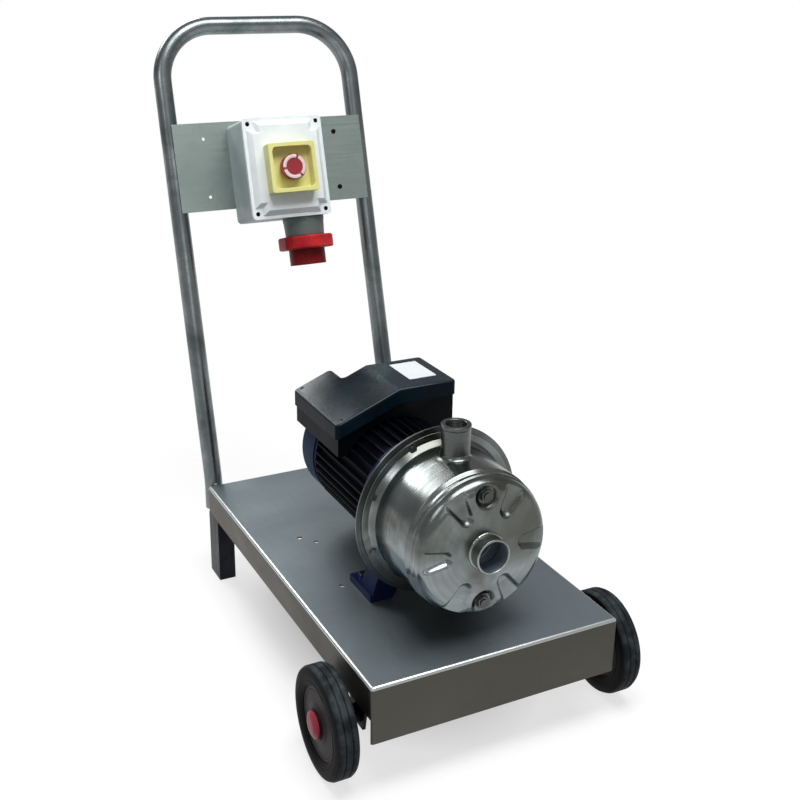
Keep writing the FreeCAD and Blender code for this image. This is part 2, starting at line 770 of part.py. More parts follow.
def make_ports():
    """Screwed sockets welded into the casing: suction in the face, discharge on top."""
    mouth = "-casing_deep-face_dome-suction_long"
    seat = "-casing_deep-face_dome+casing_wall"
    suction = turned("suction_nozzle", [
        ("suction_bore/2", mouth), ("suction_outside/2-1", mouth), ("suction_outside/2", f"{mouth}+1"),
        ("suction_outside/2", seat), ("suction_outside/2+5", seat),
        ("suction_outside/2+5", f"{seat}+port_back_flange"), ("suction_bore/2", f"{seat}+port_back_flange")])
    keep(suction, pump)
    body = new_body("discharge_nozzle")
    profile = sketch_on(body, "XZ_Plane", "discharge_profile")
    low = "drum_half-casing_wall-1"
    outline(profile, [
        ("discharge_bore/2", low), ("discharge_outside/2", low), ("discharge_outside/2", "discharge_top-6"),
        ("discharge_outside/2+discharge_lip", "discharge_top-5"),
        ("discharge_outside/2+discharge_lip", "discharge_top-1"),
        ("discharge_outside/2", "discharge_top"), ("discharge_bore/2", "discharge_top")])
    revolve(body, profile)
    keep(body, pump.multiply(frame_at(0, -size("discharge_y"), 0)))


def make_plugs():
    """Hexagon plugs, with their washers, in the two seats of the casing's face."""
    master = turned("plug_master", [
        ("0", "0"), ("plug_flats/2+2.5", "0"), ("plug_flats/2+2.5", "-1.5"), ("0", "-1.5")])
    shank = sketch_on(master, "XZ_Plane", "plug_shank")
    circle(shank, "0", "0", "plug_thread/2")
    pad(master, shank, "9", back=True)
    head = sketch_on(master, "XZ_Plane", "plug_head", "1.5")
    hexagon(head, "0", "0", "plug_flats")
    pad(master, head, "6")
    crown = sketch_on(master, "XZ_Plane", "plug_crown", "7.5")
    circle(crown, "0", "0", "plug_flats/2-2.5")
    pad(master, crown, "2")
    seat = -size("casing_deep-plug_seat_deep")
    places = [frame_at(0, seat, side * size("plug_ring")) for side in (1, -1)]
    keep(group("casing_plugs", master, places), pump)


def make_flange_bolts():
    master = new_body("flange_bolt_master")
    head = sketch_on(master, "XZ_Plane", "flange_bolt_head")
    hexagon(head, "0", "0", "bolt_flats")
    pad(master, head, "bolt_head")
    shank = sketch_on(master, "XZ_Plane", "flange_bolt_shank")
    circle(shank, "0", "0", "bolt_thread/2")
    pad(master, shank, "bolt_long", back=True)
    places = []
    for index in range(round(size("bolt_count"))):
        angle = math.radians(22.5 + index * 360 / size("bolt_count"))
        reach = size("bolt_ring/2")
        places.append(frame_at(reach * math.cos(angle), -size("flange_thick"), reach * math.sin(angle)))
    keep(group("flange_bolts", master, places), pump)


def make_seal_disc():
    """Disc that closes the casing, with a spigot inside the ring and a hub for the seal."""
    spigot_out = "drum_half-casing_wall-ring_section-ring_play*2"
    disc = turned("seal_disc", [
        ("shaft_seal_half+6", "-4"), ("seal_hub_half", "-4"), ("seal_hub_half", "0"),
        (f"{spigot_out}-spigot_wall", "0"), (f"{spigot_out}-spigot_wall", "-spigot_deep"),
        (spigot_out, "-spigot_deep"), (spigot_out, "0"), ("disc_half", "0"), ("disc_half", "disc_thick"),
        ("seal_hub_half", "disc_thick"), ("seal_hub_half", "14"), ("seal_seat_half", "14"),
        ("seal_seat_half", "2"), ("shaft_seal_half+6", "2")])
    bolt = sketch_on(disc, "XZ_Plane", "disc_bolt_hole", "1")
    circle(bolt, "bolt_ring/2*cos(22.5)", "bolt_ring/2*sin(22.5)", "bolt_thread/2+bolt_play")
    one = pocket(disc, bolt, "disc_thick+3")
    around(disc, [one], "Y_Axis", "bolt_count")
    keep(disc, pump)
    ring = doc.addObject("Part::Torus", "casing_o_ring")
    ring.Label = "casing_o_ring"
    ring.setExpression("Radius1", expression("drum_half-casing_wall-ring_play-ring_section/2"))
    ring.setExpression("Radius2", expression("ring_section/2"))
    across = FreeCAD.Rotation(V(1, 0, 0), 90)
    keep(ring, pump.multiply(frame_at(0, -size("ring_section/2+ring_play"), 0, across)))


def make_shaft_seal():
    seat = turned("seal_seat_ring", [
        ("shaft_seal_half+1", "2"), ("seal_seat_half", "2"), ("seal_seat_half", "8"),
        ("seal_seat_half-2", "8"), ("seal_seat_half-2", "10"), ("shaft_seal_half+1", "10")])
    keep(seat, pump)
    rotating = turned("seal_rotating_ring", [
        ("shaft_seal_half", "10+seal_film"), ("seal_seat_half-3", "10+seal_film"), ("seal_seat_half-3", "14"),
        ("seal_seat_half-1", "15"), ("seal_seat_half-1", "30"), ("shaft_seal_half", "30")])
    keep(rotating, pump)


def make_shaft():
    body = turned("motor_shaft", [
        ("0", "-shaft_front_end"), ("shaft_nut_half", "-shaft_front_end"),
        ("shaft_nut_half", "first_impeller_y-impeller_hub"), ("shaft_wet_half", "first_impeller_y-impeller_hub"),
        ("shaft_wet_half", "-4"), ("shaft_seal_half", "-4"), ("shaft_seal_half", "motor_start-front_bearing_wide"),
        ("shaft_front_half", "motor_start-front_bearing_wide"), ("shaft_front_half", "motor_start"),
        ("shaft_core_half", "motor_start"), ("shaft_core_half", "motor_end+7-rear_bearing_wide"),
        ("shaft_rear_half", "motor_end+7-rear_bearing_wide"), ("shaft_rear_half", "motor_end+7"),
        ("shaft_fan_half", "motor_end+7"), ("shaft_fan_half", "shaft_rear_end"), ("0", "shaft_rear_end")])
    keep(body, pump)


def make_impeller(label, back_face, hub_front, hub_rear):
    """Closed impeller: two shrouds with swept vanes between them, sucking from -Y."""
    gap, wall = "impeller_gap", "impeller_wall"
    back = turned(label, [
        ("shaft_wet_half", f"-({hub_front})"), ("impeller_hub", f"-({hub_front})"), ("impeller_hub", f"-{gap}"),
        ("impeller_hub+5", "0"), ("impeller_half", "0"), ("impeller_half", wall),
        ("impeller_hub", wall), ("impeller_hub", hub_rear), ("shaft_wet_half", hub_rear)])
    vane = sketch_on(back, "XZ_Plane", label + "_vane")
    outline(vane, [("impeller_hub+8", "-3"), ("impeller_hub+8", "-3-vane_thick*1.2"),
                   ("impeller_hub+21", "-9-vane_thick*1.2"), ("impeller_half-26", "-25"),
                   ("impeller_half-17", "-40"), ("impeller_half-15", "-38"), ("impeller_half-24", "-22"),
                   ("impeller_hub+22", "-9")])
    blade = pad(back, vane, gap)
    around(back, [blade], "Y_Axis", "vane_count")
    front = sketch_on(back, "XY_Plane", label + "_front_shroud")
    outline(front, [
        ("impeller_eye-1", f"-{gap}-7"), ("impeller_eye+1", f"-{gap}-7"), (f"impeller_eye+1", f"-{gap}-3"),
        ("impeller_eye+5", f"-{gap}-{wall}"), ("impeller_half", f"-{gap}-{wall}"), ("impeller_half", f"-{gap}"),
        ("impeller_eye+3", f"-{gap}"), ("impeller_eye-1", f"-{gap}-3")])
    revolve(back, front)
    keep(back, pump.multiply(frame_at(0, size(back_face), 0)))


def make_impellers():
    spacing = "(second_impeller_y-first_impeller_y)"
    make_impeller("first_impeller", "first_impeller_y", "impeller_hub", f"{spacing}/2")
    make_impeller("second_impeller", "second_impeller_y", f"{spacing}/2", "-second_impeller_y-4")
    nut = new_body("impeller_nut")
    flats = sketch_on(nut, "XZ_Plane", "impeller_nut_flats")
    hexagon(flats, "0", "0", "shaft_nut_half*3")
    circle(flats, "0", "0", "shaft_nut_half")
    pad(nut, flats, "8")
    keep(nut, pump.multiply(frame_at(0, size("first_impeller_y-impeller_hub"), 0)))


def make_stages():
    """Stage bowls round the impellers; guide vanes lead the water back to the next eye."""
    eye = "impeller_eye+1+stage_play/2"
    front = "impeller_gap+impeller_wall+stage_play*4"
    first_end = f"second_impeller_y-({front})-first_impeller_y"
    for label, face, end in (("first_stage_bowl", "first_impeller_y", first_end),
                             ("second_stage_bowl", "second_impeller_y", "-second_impeller_y")):
        start = f"-({front})"
        corners = [(eye, start), ("stage_half", start), ("stage_half", end), ("stage_half-stage_wall", end),
                   ("stage_half-stage_wall", f"{start}+stage_wall"), (eye, f"{start}+stage_wall")]
        if label == "first_stage_bowl":
            mouth = "-casing_deep-face_dome+casing_wall+port_back_flange-first_impeller_y"
            corners[0:1] = [(eye, mouth), (f"{eye}+stage_wall", mouth), (f"{eye}+stage_wall", start)]
        bowl = turned(label, corners)
        guide = sketch_on(bowl, "XZ_Plane", label + "_guide", f"-({end})")
        outline(guide, [("stage_half-1", "0"), ("stage_half-1", "4"), ("stage_half-18", "10"),
                        ("impeller_eye+14", "6"), ("impeller_eye+14", "4"), ("stage_half-18", "8")])
        vane = pad(bowl, guide, f"{end}-impeller_wall-6")
        around(bowl, [vane], "Y_Axis", "guide_count")
        keep(bowl, pump.multiply(frame_at(0, size(face), 0)))


# Motor adapter: a bell behind the seal disc, cast in one with the pump's foot.
def make_adapter():
    rear = "motor_start"
    front = "disc_thick"
    bearing = "front_bearing/2"
    body = turned("adapter_casting", [
        ("adapter_half-10", front), ("adapter_half", front), ("adapter_half", f"{front}+adapter_rim"),
        ("adapter_half-10", f"{front}+adapter_rim+5"), ("fin_tip+2", f"{rear}-11"), ("fin_tip+2", rear),
        ("housing_bore-0.2", rear), ("housing_bore-0.2", f"{rear}+6"), ("housing_bore-7", f"{rear}+6"),
        ("housing_bore-7", f"{rear}-13"), (f"{bearing}+7", f"{rear}-13"), (f"{bearing}+7", rear),
        (bearing, rear), (bearing, f"{rear}-front_bearing_wide"),
        ("shaft_seal_half+6", f"{rear}-front_bearing_wide"), ("shaft_seal_half+6", f"{rear}-front_bearing_wide-7"),
        ("fin_tip-8", f"{rear}-front_bearing_wide-7"), ("adapter_half-24", f"{front}+12"),
        ("adapter_half-24", front)])
    floor = "-pump_rise"
    web = sketch_on(body, "XZ_Plane", "foot_web", "-foot_front")
    outline(web, [("-foot_web_low", f"{floor}+foot_plate"), ("foot_web_low", f"{floor}+foot_plate"),
                  ("foot_web_high", "-foot_web_top"), ("-foot_web_high", "-foot_web_top")])
    pad(body, web, "foot_web_end-foot_front", back=True)
    plate = sketch_on(body, "XY_Plane", "foot_plate_outline", floor)
    rectangle(plate, "-foot_half", "foot_half", "foot_front", "foot_rear")
    for side in ("-", "+"):
        circle(plate, f"0{side}foot_bolt_across/2", "foot_bolt_y", "foot_bolt/2")
    pad(body, plate, "foot_plate")
    hollow = new_body("adapter_hollow")
    bell = sketch_on(hollow, "XY_Plane", "adapter_hollow_profile")
    outline(bell, [("0", f"{front}-1"), ("adapter_half-24", f"{front}-1"), ("adapter_half-24", f"{front}+12"),
                   ("fin_tip-8", f"{rear}-front_bearing_wide-7"), ("0", f"{rear}-front_bearing_wide-7")])
    revolve(hollow, bell)
    arch = sketch_on(hollow, "XZ_Plane", "foot_arch", "-foot_front+5")
    outline(arch, [("-foot_web_high+14", f"{floor}-1"), ("foot_web_high-14", f"{floor}-1"),
                   ("foot_web_high-26", "-adapter_half+6"), ("-foot_web_high+26", "-adapter_half+6")])
    pad(hollow, arch, "foot_rear-foot_front+20", back=True)
    bolt = sketch_on(hollow, "XZ_Plane", "adapter_bolt_hole", f"-({front})+1")
    circle(bolt, "bolt_ring/2*cos(22.5)", "bolt_ring/2*sin(22.5)", "bolt_thread/2+bolt_play")
    one = pad(hollow, bolt, "bolt_long-flange_thick-disc_thick+2", back=True)
    around(hollow, [one], "Y_Axis", "bolt_count")
    keep(boolean("Cut", "motor_adapter", body, hollow), pump)


def make_foot_bolts():
    """Hexagon bolts through the foot and the tray, with a washer and a nut below."""
    master = new_body("foot_bolt_master")
    head = sketch_on(master, "XY_Plane", "foot_bolt_head")
    hexagon(head, "0", "0", "foot_bolt_flats")
    pad(master, head, "5.3")
    shank = sketch_on(master, "XY_Plane", "foot_bolt_shank")
    circle(shank, "0", "0", "foot_bolt/2")
    pad(master, shank, "foot_plate+tray_sheet+10", back=True)
    washer = sketch_on(master, "XY_Plane", "foot_bolt_washer", "-foot_plate-tray_sheet")
    circle(washer, "0", "0", "foot_bolt")
    pad(master, washer, "1.6", back=True)
    nut = sketch_on(master, "XY_Plane", "foot_bolt_nut", "-foot_plate-tray_sheet-1.6")
    hexagon(nut, "0", "0", "foot_bolt_flats")
    pad(master, nut, "6.5", back=True)
    rise = size("foot_plate-pump_rise")
    along = size("foot_bolt_y")
    across = size("foot_bolt_across/2")
    keep(group("foot_bolts", master, [frame_at(-across, along, rise), frame_at(across, along, rise)]), pump)


def make_motor_housing():
    body = turned("motor_housing", [
        ("housing_bore", "motor_start"), ("fin_root", "motor_start"), ("fin_root", "motor_end"),
        ("housing_bore", "motor_end")])
    fin = sketch_on(body, "XZ_Plane", "motor_fin", "-motor_start")
    outline(fin, [("fin_root-1", "-fin_thick*0.75"), ("fin_tip", "-fin_thick/2"), ("fin_tip", "fin_thick/2"),
                  ("fin_root-1", "fin_thick*0.75")])
    first = pad(body, fin, "motor_end-motor_start", back=True)
    around(body, [first], "Y_Axis", "fin_count")
    keep(body, pump)


def make_stator():
    core = turned("stator_core", [
        ("stator_bore", "core_start"), ("housing_bore", "core_start"), ("housing_bore", "core_end"),
        ("stator_bore", "core_end")])
    keep(core, pump)
    master = turned("winding_master", [
        ("winding_inner", "0"), ("winding_outer", "0"), ("winding_outer", "winding_reach-5"),
        ("winding_outer-5", "winding_reach"), ("winding_inner+4", "winding_reach"),
        ("winding_inner", "winding_reach-4")])
    flip = FreeCAD.Rotation(V(0, 0, 1), 180)
    places = [frame_at(0, size("core_start"), 0, flip), frame_at(0, size("core_end"), 0)]
    keep(group("stator_windings", master, places), pump)
    rotor = turned("rotor_core", [
        ("shaft_core_half", "core_start"), ("stator_bore-air_gap", "core_start"),
        ("stator_bore-air_gap", "core_end"), ("shaft_core_half", "core_end")])
    keep(rotor, pump)


def make_bearings():
    """Ball bearings of two sizes: outer rings, inner rings and balls, each as one node."""
    outer_rings, inner_rings, ball_sets = [], [], []
    for label, outside, wide, shaft, start in (
            ("front", "front_bearing", "front_bearing_wide", "shaft_front_half", "motor_start-front_bearing_wide"),
            ("rear", "rear_bearing", "rear_bearing_wide", "shaft_rear_half", "motor_end+7-rear_bearing_wide")):
        wall = f"({outside}/2-{shaft})*race_share"
        outer = turned(f"{label}_outer_ring", [
            (f"{outside}/2-{wall}", start), (f"{outside}/2", start), (f"{outside}/2", f"{start}+{wide}"),
            (f"{outside}/2-{wall}", f"{start}+{wide}")])
        inner = turned(f"{label}_inner_ring", [
            (shaft, start), (f"{shaft}+{wall}", start), (f"{shaft}+{wall}", f"{start}+{wide}"),
            (shaft, f"{start}+{wide}")])
        doc.recompute()
        outer_rings.append(outer.Shape)
        inner_rings.append(inner.Shape)
        inside, outside_half = size(f"{shaft}+{wall}"), size(f"{outside}/2-{wall}")
        ball = (outside_half - inside) / 2 - size("ball_play")
        pitch = (outside_half + inside) / 2
        middle = size(f"{start}+{wide}/2")
        count = round(size("ball_count"))
        for index in range(count):
            angle = 2 * math.pi * index / count
            centre = V(pitch * math.cos(angle), middle, pitch * math.sin(angle))
            ball_sets.append(Part.makeSphere(ball, centre))
    for label, shapes in (("bearing_outer_rings", outer_rings), ("bearing_inner_rings", inner_rings),
                          ("bearing_balls", ball_sets)):
        feature = doc.addObject("Part::Feature", label)
        feature.Label = label
        feature.Shape = Part.makeCompound(shapes)
        keep(feature, pump)


def make_rear_shield():
    end = "motor_end"
    bearing = "rear_bearing/2"
    body = turned("rear_shield", [
        ("housing_bore-6", end), ("housing_bore-6", f"{end}-6"), ("housing_bore-0.2", f"{end}-6"),
        ("housing_bore-0.2", end), ("cover_half-cover_wall", end), ("cover_half-cover_wall", f"{end}+shield_thick+4"),
        ("cover_half-12", f"{end}+shield_thick+4"), ("cover_half-16", f"{end}+shield_thick"),
        (f"{bearing}+8", f"{end}+shield_thick"), (f"{bearing}+5", f"{end}+shield_thick+3"),
        ("shaft_rear_half+1", f"{end}+shield_thick+3"), ("shaft_rear_half+1", f"{end}+7"),
        (bearing, f"{end}+7"), (bearing, f"{end}+7-rear_bearing_wide"),
        (f"{bearing}+6", f"{end}+7-rear_bearing_wide"), (f"{bearing}+6", end)])
    keep(body, pump)


def make_fan():
    end = "fan_start+fan_wide"
    body = turned("cooling_fan", [
        ("shaft_fan_half", "fan_start"), ("fan_half-4", "fan_start"), ("fan_half-4", "fan_start+2"),
        ("fan_hub+4", "fan_start+4"), ("fan_hub", end), ("shaft_fan_half", end)])
    blade = sketch_on(body, "XZ_Plane", "fan_blade", "-fan_start")
    rectangle(blade, "fan_hub-2", "fan_half", "-fan_blade/2", "fan_blade/2")
    first = pad(body, blade, "fan_wide", back=True)
    around(body, [first], "Y_Axis", "fan_blades")
    keep(body, pump)


def make_fan_cover():
    body = turned("fan_cover", [
        ("cover_half-cover_wall", "cover_start"), ("cover_half", "cover_start"), ("cover_half", "cover_end"),
        ("0", "cover_end"), ("0", "cover_end-cover_wall"), ("cover_half-cover_wall", "cover_end-cover_wall")])
    soften(body, "Fillet", "cover_round", is_ring("cover_half", "cover_end"))
    soften(body, "Fillet", "cover_round-cover_wall",
           is_ring("cover_half-cover_wall", "cover_end-cover_wall"))
    slot = sketch_on(body, "XZ_Plane", "cover_slot", "-cover_end-1")
    rectangle(slot, "slot_inner", "slot_outer", "-slot_wide/2", "slot_wide/2")
    first = pocket(body, slot, "cover_wall+4", back=True)
    around(body, [first], "Y_Axis", "cover_slots")
    keep(body, pump)


# Terminal box: level on the right, sloping down on the left, with a tail over the fan cover.
SLOPE = "((box_top-box_left_top)/(box_left+box_bend))"
LID_SCREWS = [("box_right-5", "box_front+6"), ("box_right-5", "box_rear-6"),
              ("-box_left+7", "box_front+6"), ("-box_left+7", "box_tail-6")]
GLAND_X = "box_right-34"
GLAND_Z = "box_top-box_skirt-24"


def plan_corners(grow):
    """L-shaped plan of the terminal box, grown by a named amount on every side."""
    return [(f"-box_left-({grow})", f"box_front-({grow})"), (f"box_right+({grow})", f"box_front-({grow})"),
            (f"box_right+({grow})", f"box_rear+({grow})"), (f"box_tail_right+({grow})", f"box_rear+({grow})"),
            (f"box_tail_right+({grow})", f"box_tail+({grow})"), (f"-box_left-({grow})", f"box_tail+({grow})")]


def roof(drop, grow):
    """Region above a line that follows the lid's top at a given drop below it."""
    left, right = f"-box_left-({grow})", f"box_right+({grow})"
    low = f"box_top-({drop})-{SLOPE}*(box_left+({grow})+box_bend)"
    return [(left, low), ("box_bend", f"box_top-({drop})"), (right, f"box_top-({drop})"),
            (right, "box_top+40"), (left, "box_top+40")]


def box_block(label, grow, low, drop):
    """Prism of the box's plan, cut off along the lid line."""
    body = new_body(label)
    plan = sketch_on(body, "XY_Plane", label + "_plan", low)
    outline(plan, plan_corners(grow))
    pad(body, plan, f"box_top+10-({low})")
    above = sketch_on(body, "XZ_Plane", label + "_roof", "-box_front+20")
    outline(above, roof(drop, "20"))
    pocket(body, above, "box_tail-box_front+60")
    return body


def make_terminal_base():
    outside = box_block("terminal_base_outside", "0", "box_bottom", "box_wall")
    saddle = sketch_on(outside, "XZ_Plane", "terminal_saddle", "-box_front+20")
    circle(saddle, "0", "0", "fin_tip+saddle_play")
    pocket(outside, saddle, "box_tail-box_front+60")
    inside = box_block("terminal_base_inside", "-box_wall", "box_bottom+box_wall", "-1")
    floor = sketch_on(inside, "XZ_Plane", "terminal_floor", "-box_front+20")
    circle(floor, "0", "0", "fin_tip+saddle_play+box_wall")
    pocket(inside, floor, "box_tail-box_front+60")
    posts = sketch_on(inside, "XY_Plane", "terminal_posts_plan", "box_bottom-5")
    for across, along in LID_SCREWS:
        circle(posts, across, along, "lid_screw/2+2.5")
    pocket(inside, posts, "box_top", back=True)
    hollowed = boolean("Cut", "terminal_base_hollow", outside, inside)
    entry = new_body("terminal_entry")
    hole = sketch_on(entry, "XZ_Plane", "terminal_entry_hole", "-box_rear+box_wall+2")
    circle(hole, GLAND_X, GLAND_Z, "gland_thread/2")
    pad(entry, hole, "box_wall*2+4", back=True)
    threads = sketch_on(entry, "XY_Plane", "terminal_thread_holes", "box_left_top-box_skirt-6")
    for across, along in LID_SCREWS:
        circle(threads, across, along, "lid_screw_thread/2")
    pad(entry, threads, "box_top")
    left = LID_SCREWS[2][0]
    heads = sketch_on(entry, "XY_Plane", "terminal_head_seats",
                      f"box_top-{SLOPE}*(box_bend-({left}))-box_wall")
    for across, along in LID_SCREWS[2:]:
        circle(heads, across, along, "lid_screw/2+saddle_play")
    pad(entry, heads, "box_top")
    keep(boolean("Cut", "terminal_box_base", hollowed, entry), pump)


def make_terminal_lid():
    outside = box_block("terminal_lid_outside", "box_proud", "box_left_top-box_skirt-box_top*0.1", "0")
    below = sketch_on(outside, "XZ_Plane", "terminal_lid_below", "-box_front+20")
    left, right = "-box_left-20", "box_right+20"
    low = f"box_top-box_skirt-{SLOPE}*(box_left+20+box_bend)"
    outline(below, [(left, low), ("box_bend", "box_top-box_skirt"), (right, "box_top-box_skirt"),
                    (right, "-20"), (left, "-20")])
    pocket(outside, below, "box_tail-box_front+60")
    top, left_top = size("box_top"), size("box_left_top")
    slope = size(SLOPE)
    bend = size("box_bend")

    def on_roof_rim(edge):
        """Edge with both ends on the roof surface that borders an upright wall."""
        ends = [vertex.Point for vertex in edge.Vertexes]
        for end in ends:
            line = top if end.x >= bend - 1e-3 else top - slope * (bend - end.x)
            if abs(end.z - line) > 1e-3:
                return False
        return not (abs(ends[0].x - bend) < 1e-3 and abs(ends[-1].x - bend) < 1e-3)
    soften(outside, "Fillet", "lid_corner", is_upright)
    soften(outside, "Fillet", "lid_edge", on_roof_rim)
    inside = box_block("terminal_lid_inside", "box_proud-box_wall", "-10", "box_wall")
    hollowed = boolean("Cut", "terminal_lid_hollow", outside, inside)
    screws = new_body("terminal_lid_holes")
    holes = sketch_on(screws, "XY_Plane", "terminal_lid_hole_plan", "box_left_top-60")
    for across, along in LID_SCREWS:
        circle(holes, across, along, "lid_screw/2")
    pad(screws, holes, "box_top")
    keep(boolean("Cut", "terminal_box_lid", hollowed, screws), pump)


def make_terminal_details():
    frames = []
    for across, along in LID_SCREWS:
        lid_line = "box_top" if size(across) > size("box_bend") else f"box_top-{SLOPE}*(box_bend-({across}))"
        frames.append(frame_at(size(across), size(along), size(lid_line)))
    master = new_body("terminal_screw_master")
    head = sketch_on(master, "XY_Plane", "terminal_screw_head", "-box_wall")
    circle(head, "0", "0", "lid_screw/2")
    pad(master, head, "box_wall-0.4")
    shank = sketch_on(master, "XY_Plane", "terminal_screw_shank", "-box_wall")
    circle(shank, "0", "0", "lid_screw_thread/2")
    pad(master, shank, "16", back=True)
    slot = sketch_on(master, "XY_Plane", "terminal_screw_slot", "-0.4")
    rectangle(slot, "-lid_screw", "lid_screw", "-0.5", "0.5")
    pocket(master, slot, "1.2")
    keep(group("terminal_lid_screws", master, frames), pump)
    label = new_body("blank_rating_plate")
    flat = sketch_on(label, "XY_Plane", "blank_plate_outline", "box_top")
    rectangle(flat, "box_right-63", "box_right-15", "box_front+28", "box_rear-15")
    pad(label, flat, "plate_blank_thick")
    soften(label, "Fillet", "2", is_upright)
    keep(label, pump)
    capacitor = new_body("start_capacitor")
    can = sketch_on(capacitor, "XZ_Plane", "capacitor_can", "-box_front-30")
    away = "fin_tip+saddle_play*2+box_wall+capacitor_round/2"
    side = "box_left-box_wall-saddle_play-capacitor_round/2"
    circle(can, f"-({side})", f"sqrt(({away})^2-({side})^2)", "capacitor_round/2")
    pad(capacitor, can, "capacitor_long", back=True)
    keep(capacitor, pump)
    block = new_body("terminal_block")
    base = sketch_on(block, "XY_Plane", "terminal_block_plan", "fin_tip+saddle_play+box_wall+12")
    rectangle(base, "-25", "25", "box_front+40", "box_front+80")
    pad(block, base, "20", back=True)
    seat = sketch_on(block, "XZ_Plane", "terminal_block_seat", "-box_front-30")
    circle(seat, "0", "0", "fin_tip+saddle_play+box_wall")
    pocket(block, seat, "60")
    posts = sketch_on(block, "XY_Plane", "terminal_posts", "fin_tip+saddle_play+box_wall+12")
    for column in (-16, 0, 16):
        for line in ("50", "70"):
            circle(posts, str(column), f"box_front+{line}", "2.5")
    pad(block, posts, "6")
    keep(block, pump)
    gland = new_body("terminal_gland")
    wall = "box_rear"
    start = sketch_on(gland, "XZ_Plane", "gland_flats_outline", f"-{wall}")
    hexagon(start, GLAND_X, GLAND_Z, "gland_flats")
    pad(gland, start, "6", back=True)
    dome = sketch_on(gland, "XZ_Plane", "gland_cap_outline", f"-{wall}-6")
    circle(dome, GLAND_X, GLAND_Z, "gland_flats/2-1")
    pad(gland, dome, "14", back=True)
    stem = sketch_on(gland, "XZ_Plane", "gland_stem_outline", f"-{wall}")
    circle(stem, GLAND_X, GLAND_Z, "gland_thread/2")
    pad(gland, stem, "box_wall+5")
    mouth = sketch_on(gland, "XZ_Plane", "gland_mouth", f"-{wall}-20")
    circle(mouth, GLAND_X, GLAND_Z, "4.5")
    pocket(gland, mouth, "box_wall+27", back=True)
    keep(gland, pump)


# Control box on the handle plate: base, gasket, lid and screws.
CTRL_BACK = "tube_round/2+plate_thick"
CTRL_EDGES = ("ctrl_x-ctrl_wide/2", "ctrl_x+ctrl_wide/2", "ctrl_low", "ctrl_high")


def cross_outline(sketch, grow, notch):
    """Rectangle of the control box with a square taken out of each corner."""
    left, right = f"ctrl_x-ctrl_wide/2+{grow}", f"ctrl_x+ctrl_wide/2-({grow})"
    low, high = f"ctrl_low+{grow}", f"ctrl_high-({grow})"
    outline(sketch, [
        (f"{left}+{notch}", low), (f"{right}-{notch}", low), (f"{right}-{notch}", f"{low}+{notch}"),
        (right, f"{low}+{notch}"), (right, f"{high}-{notch}"), (f"{right}-{notch}", f"{high}-{notch}"),
        (f"{right}-{notch}", high), (f"{left}+{notch}", high), (f"{left}+{notch}", f"{high}-{notch}"),
        (left, f"{high}-{notch}"), (left, f"{low}+{notch}"), (f"{left}+{notch}", f"{low}+{notch}")])


def screw_places():
    inset = "ctrl_screw_in"
    return [(f"ctrl_x{side}(ctrl_wide/2-{inset})", height)
            for side in ("-", "+") for height in (f"ctrl_low+{inset}", f"ctrl_high-{inset}")]


def make_control_base():
    body = new_body("control_box_base")
    plan = sketch_on(body, "XZ_Plane", "control_base_plan", CTRL_BACK)
    rectangle(plan, *CTRL_EDGES)
    pad(body, plan, "ctrl_deep")
    soften(body, "Fillet", "ctrl_corner", is_along_y)
    hollow = sketch_on(body, "XZ_Plane", "control_base_hollow", f"{CTRL_BACK}+ctrl_deep")
    cross_outline(hollow, "ctrl_wall", "(ctrl_post-ctrl_wall)")
    pocket(body, hollow, "ctrl_deep-ctrl_wall")
    bolts = sketch_on(body, "XZ_Plane", "control_base_bolts", f"{CTRL_BACK}+ctrl_wall")
    for side in ("-", "+"):
        for rise in ("-", "+"):
            circle(bolts, f"ctrl_x{side}ctrl_bolt_across/2",
                   f"(ctrl_low+ctrl_high)/2{rise}ctrl_bolt_up/2", "ctrl_bolt/2")
    pocket(body, bolts, "ctrl_wall+1")
    screws = sketch_on(body, "XZ_Plane", "control_base_screws", f"{CTRL_BACK}+ctrl_deep")
    for across, up in screw_places():
        circle(screws, across, up, "ctrl_screw/4")
    pocket(body, screws, "ctrl_deep/2")
    entry = sketch_on(body, "XY_Plane", "control_base_entry", "ctrl_low-1")
    circle(entry, "inlet_x", f"-({CTRL_BACK})-inlet_out", "inlet_entry/2")
    pocket(body, entry, "ctrl_wall+1.5", back=True)
    keep(body, leaning)


def make_control_gasket():
    body = new_body("control_box_gasket")
    face = sketch_on(body, "XZ_Plane", "gasket_plan", f"{CTRL_BACK}+ctrl_deep")
    rectangle(face, *CTRL_EDGES)
    pad(body, face, "gasket_thick")
    soften(body, "Fillet", "ctrl_corner", is_along_y)
    opening = sketch_on(body, "XZ_Plane", "gasket_opening", f"{CTRL_BACK}+ctrl_deep+gasket_thick")
    cross_outline(opening, "ctrl_wall", "(ctrl_post-ctrl_wall)")
    for across, up in screw_places():
        circle(opening, across, up, "ctrl_screw/4+0.2")
    pocket(body, opening, "gasket_thick+1")
    keep(body, leaning)


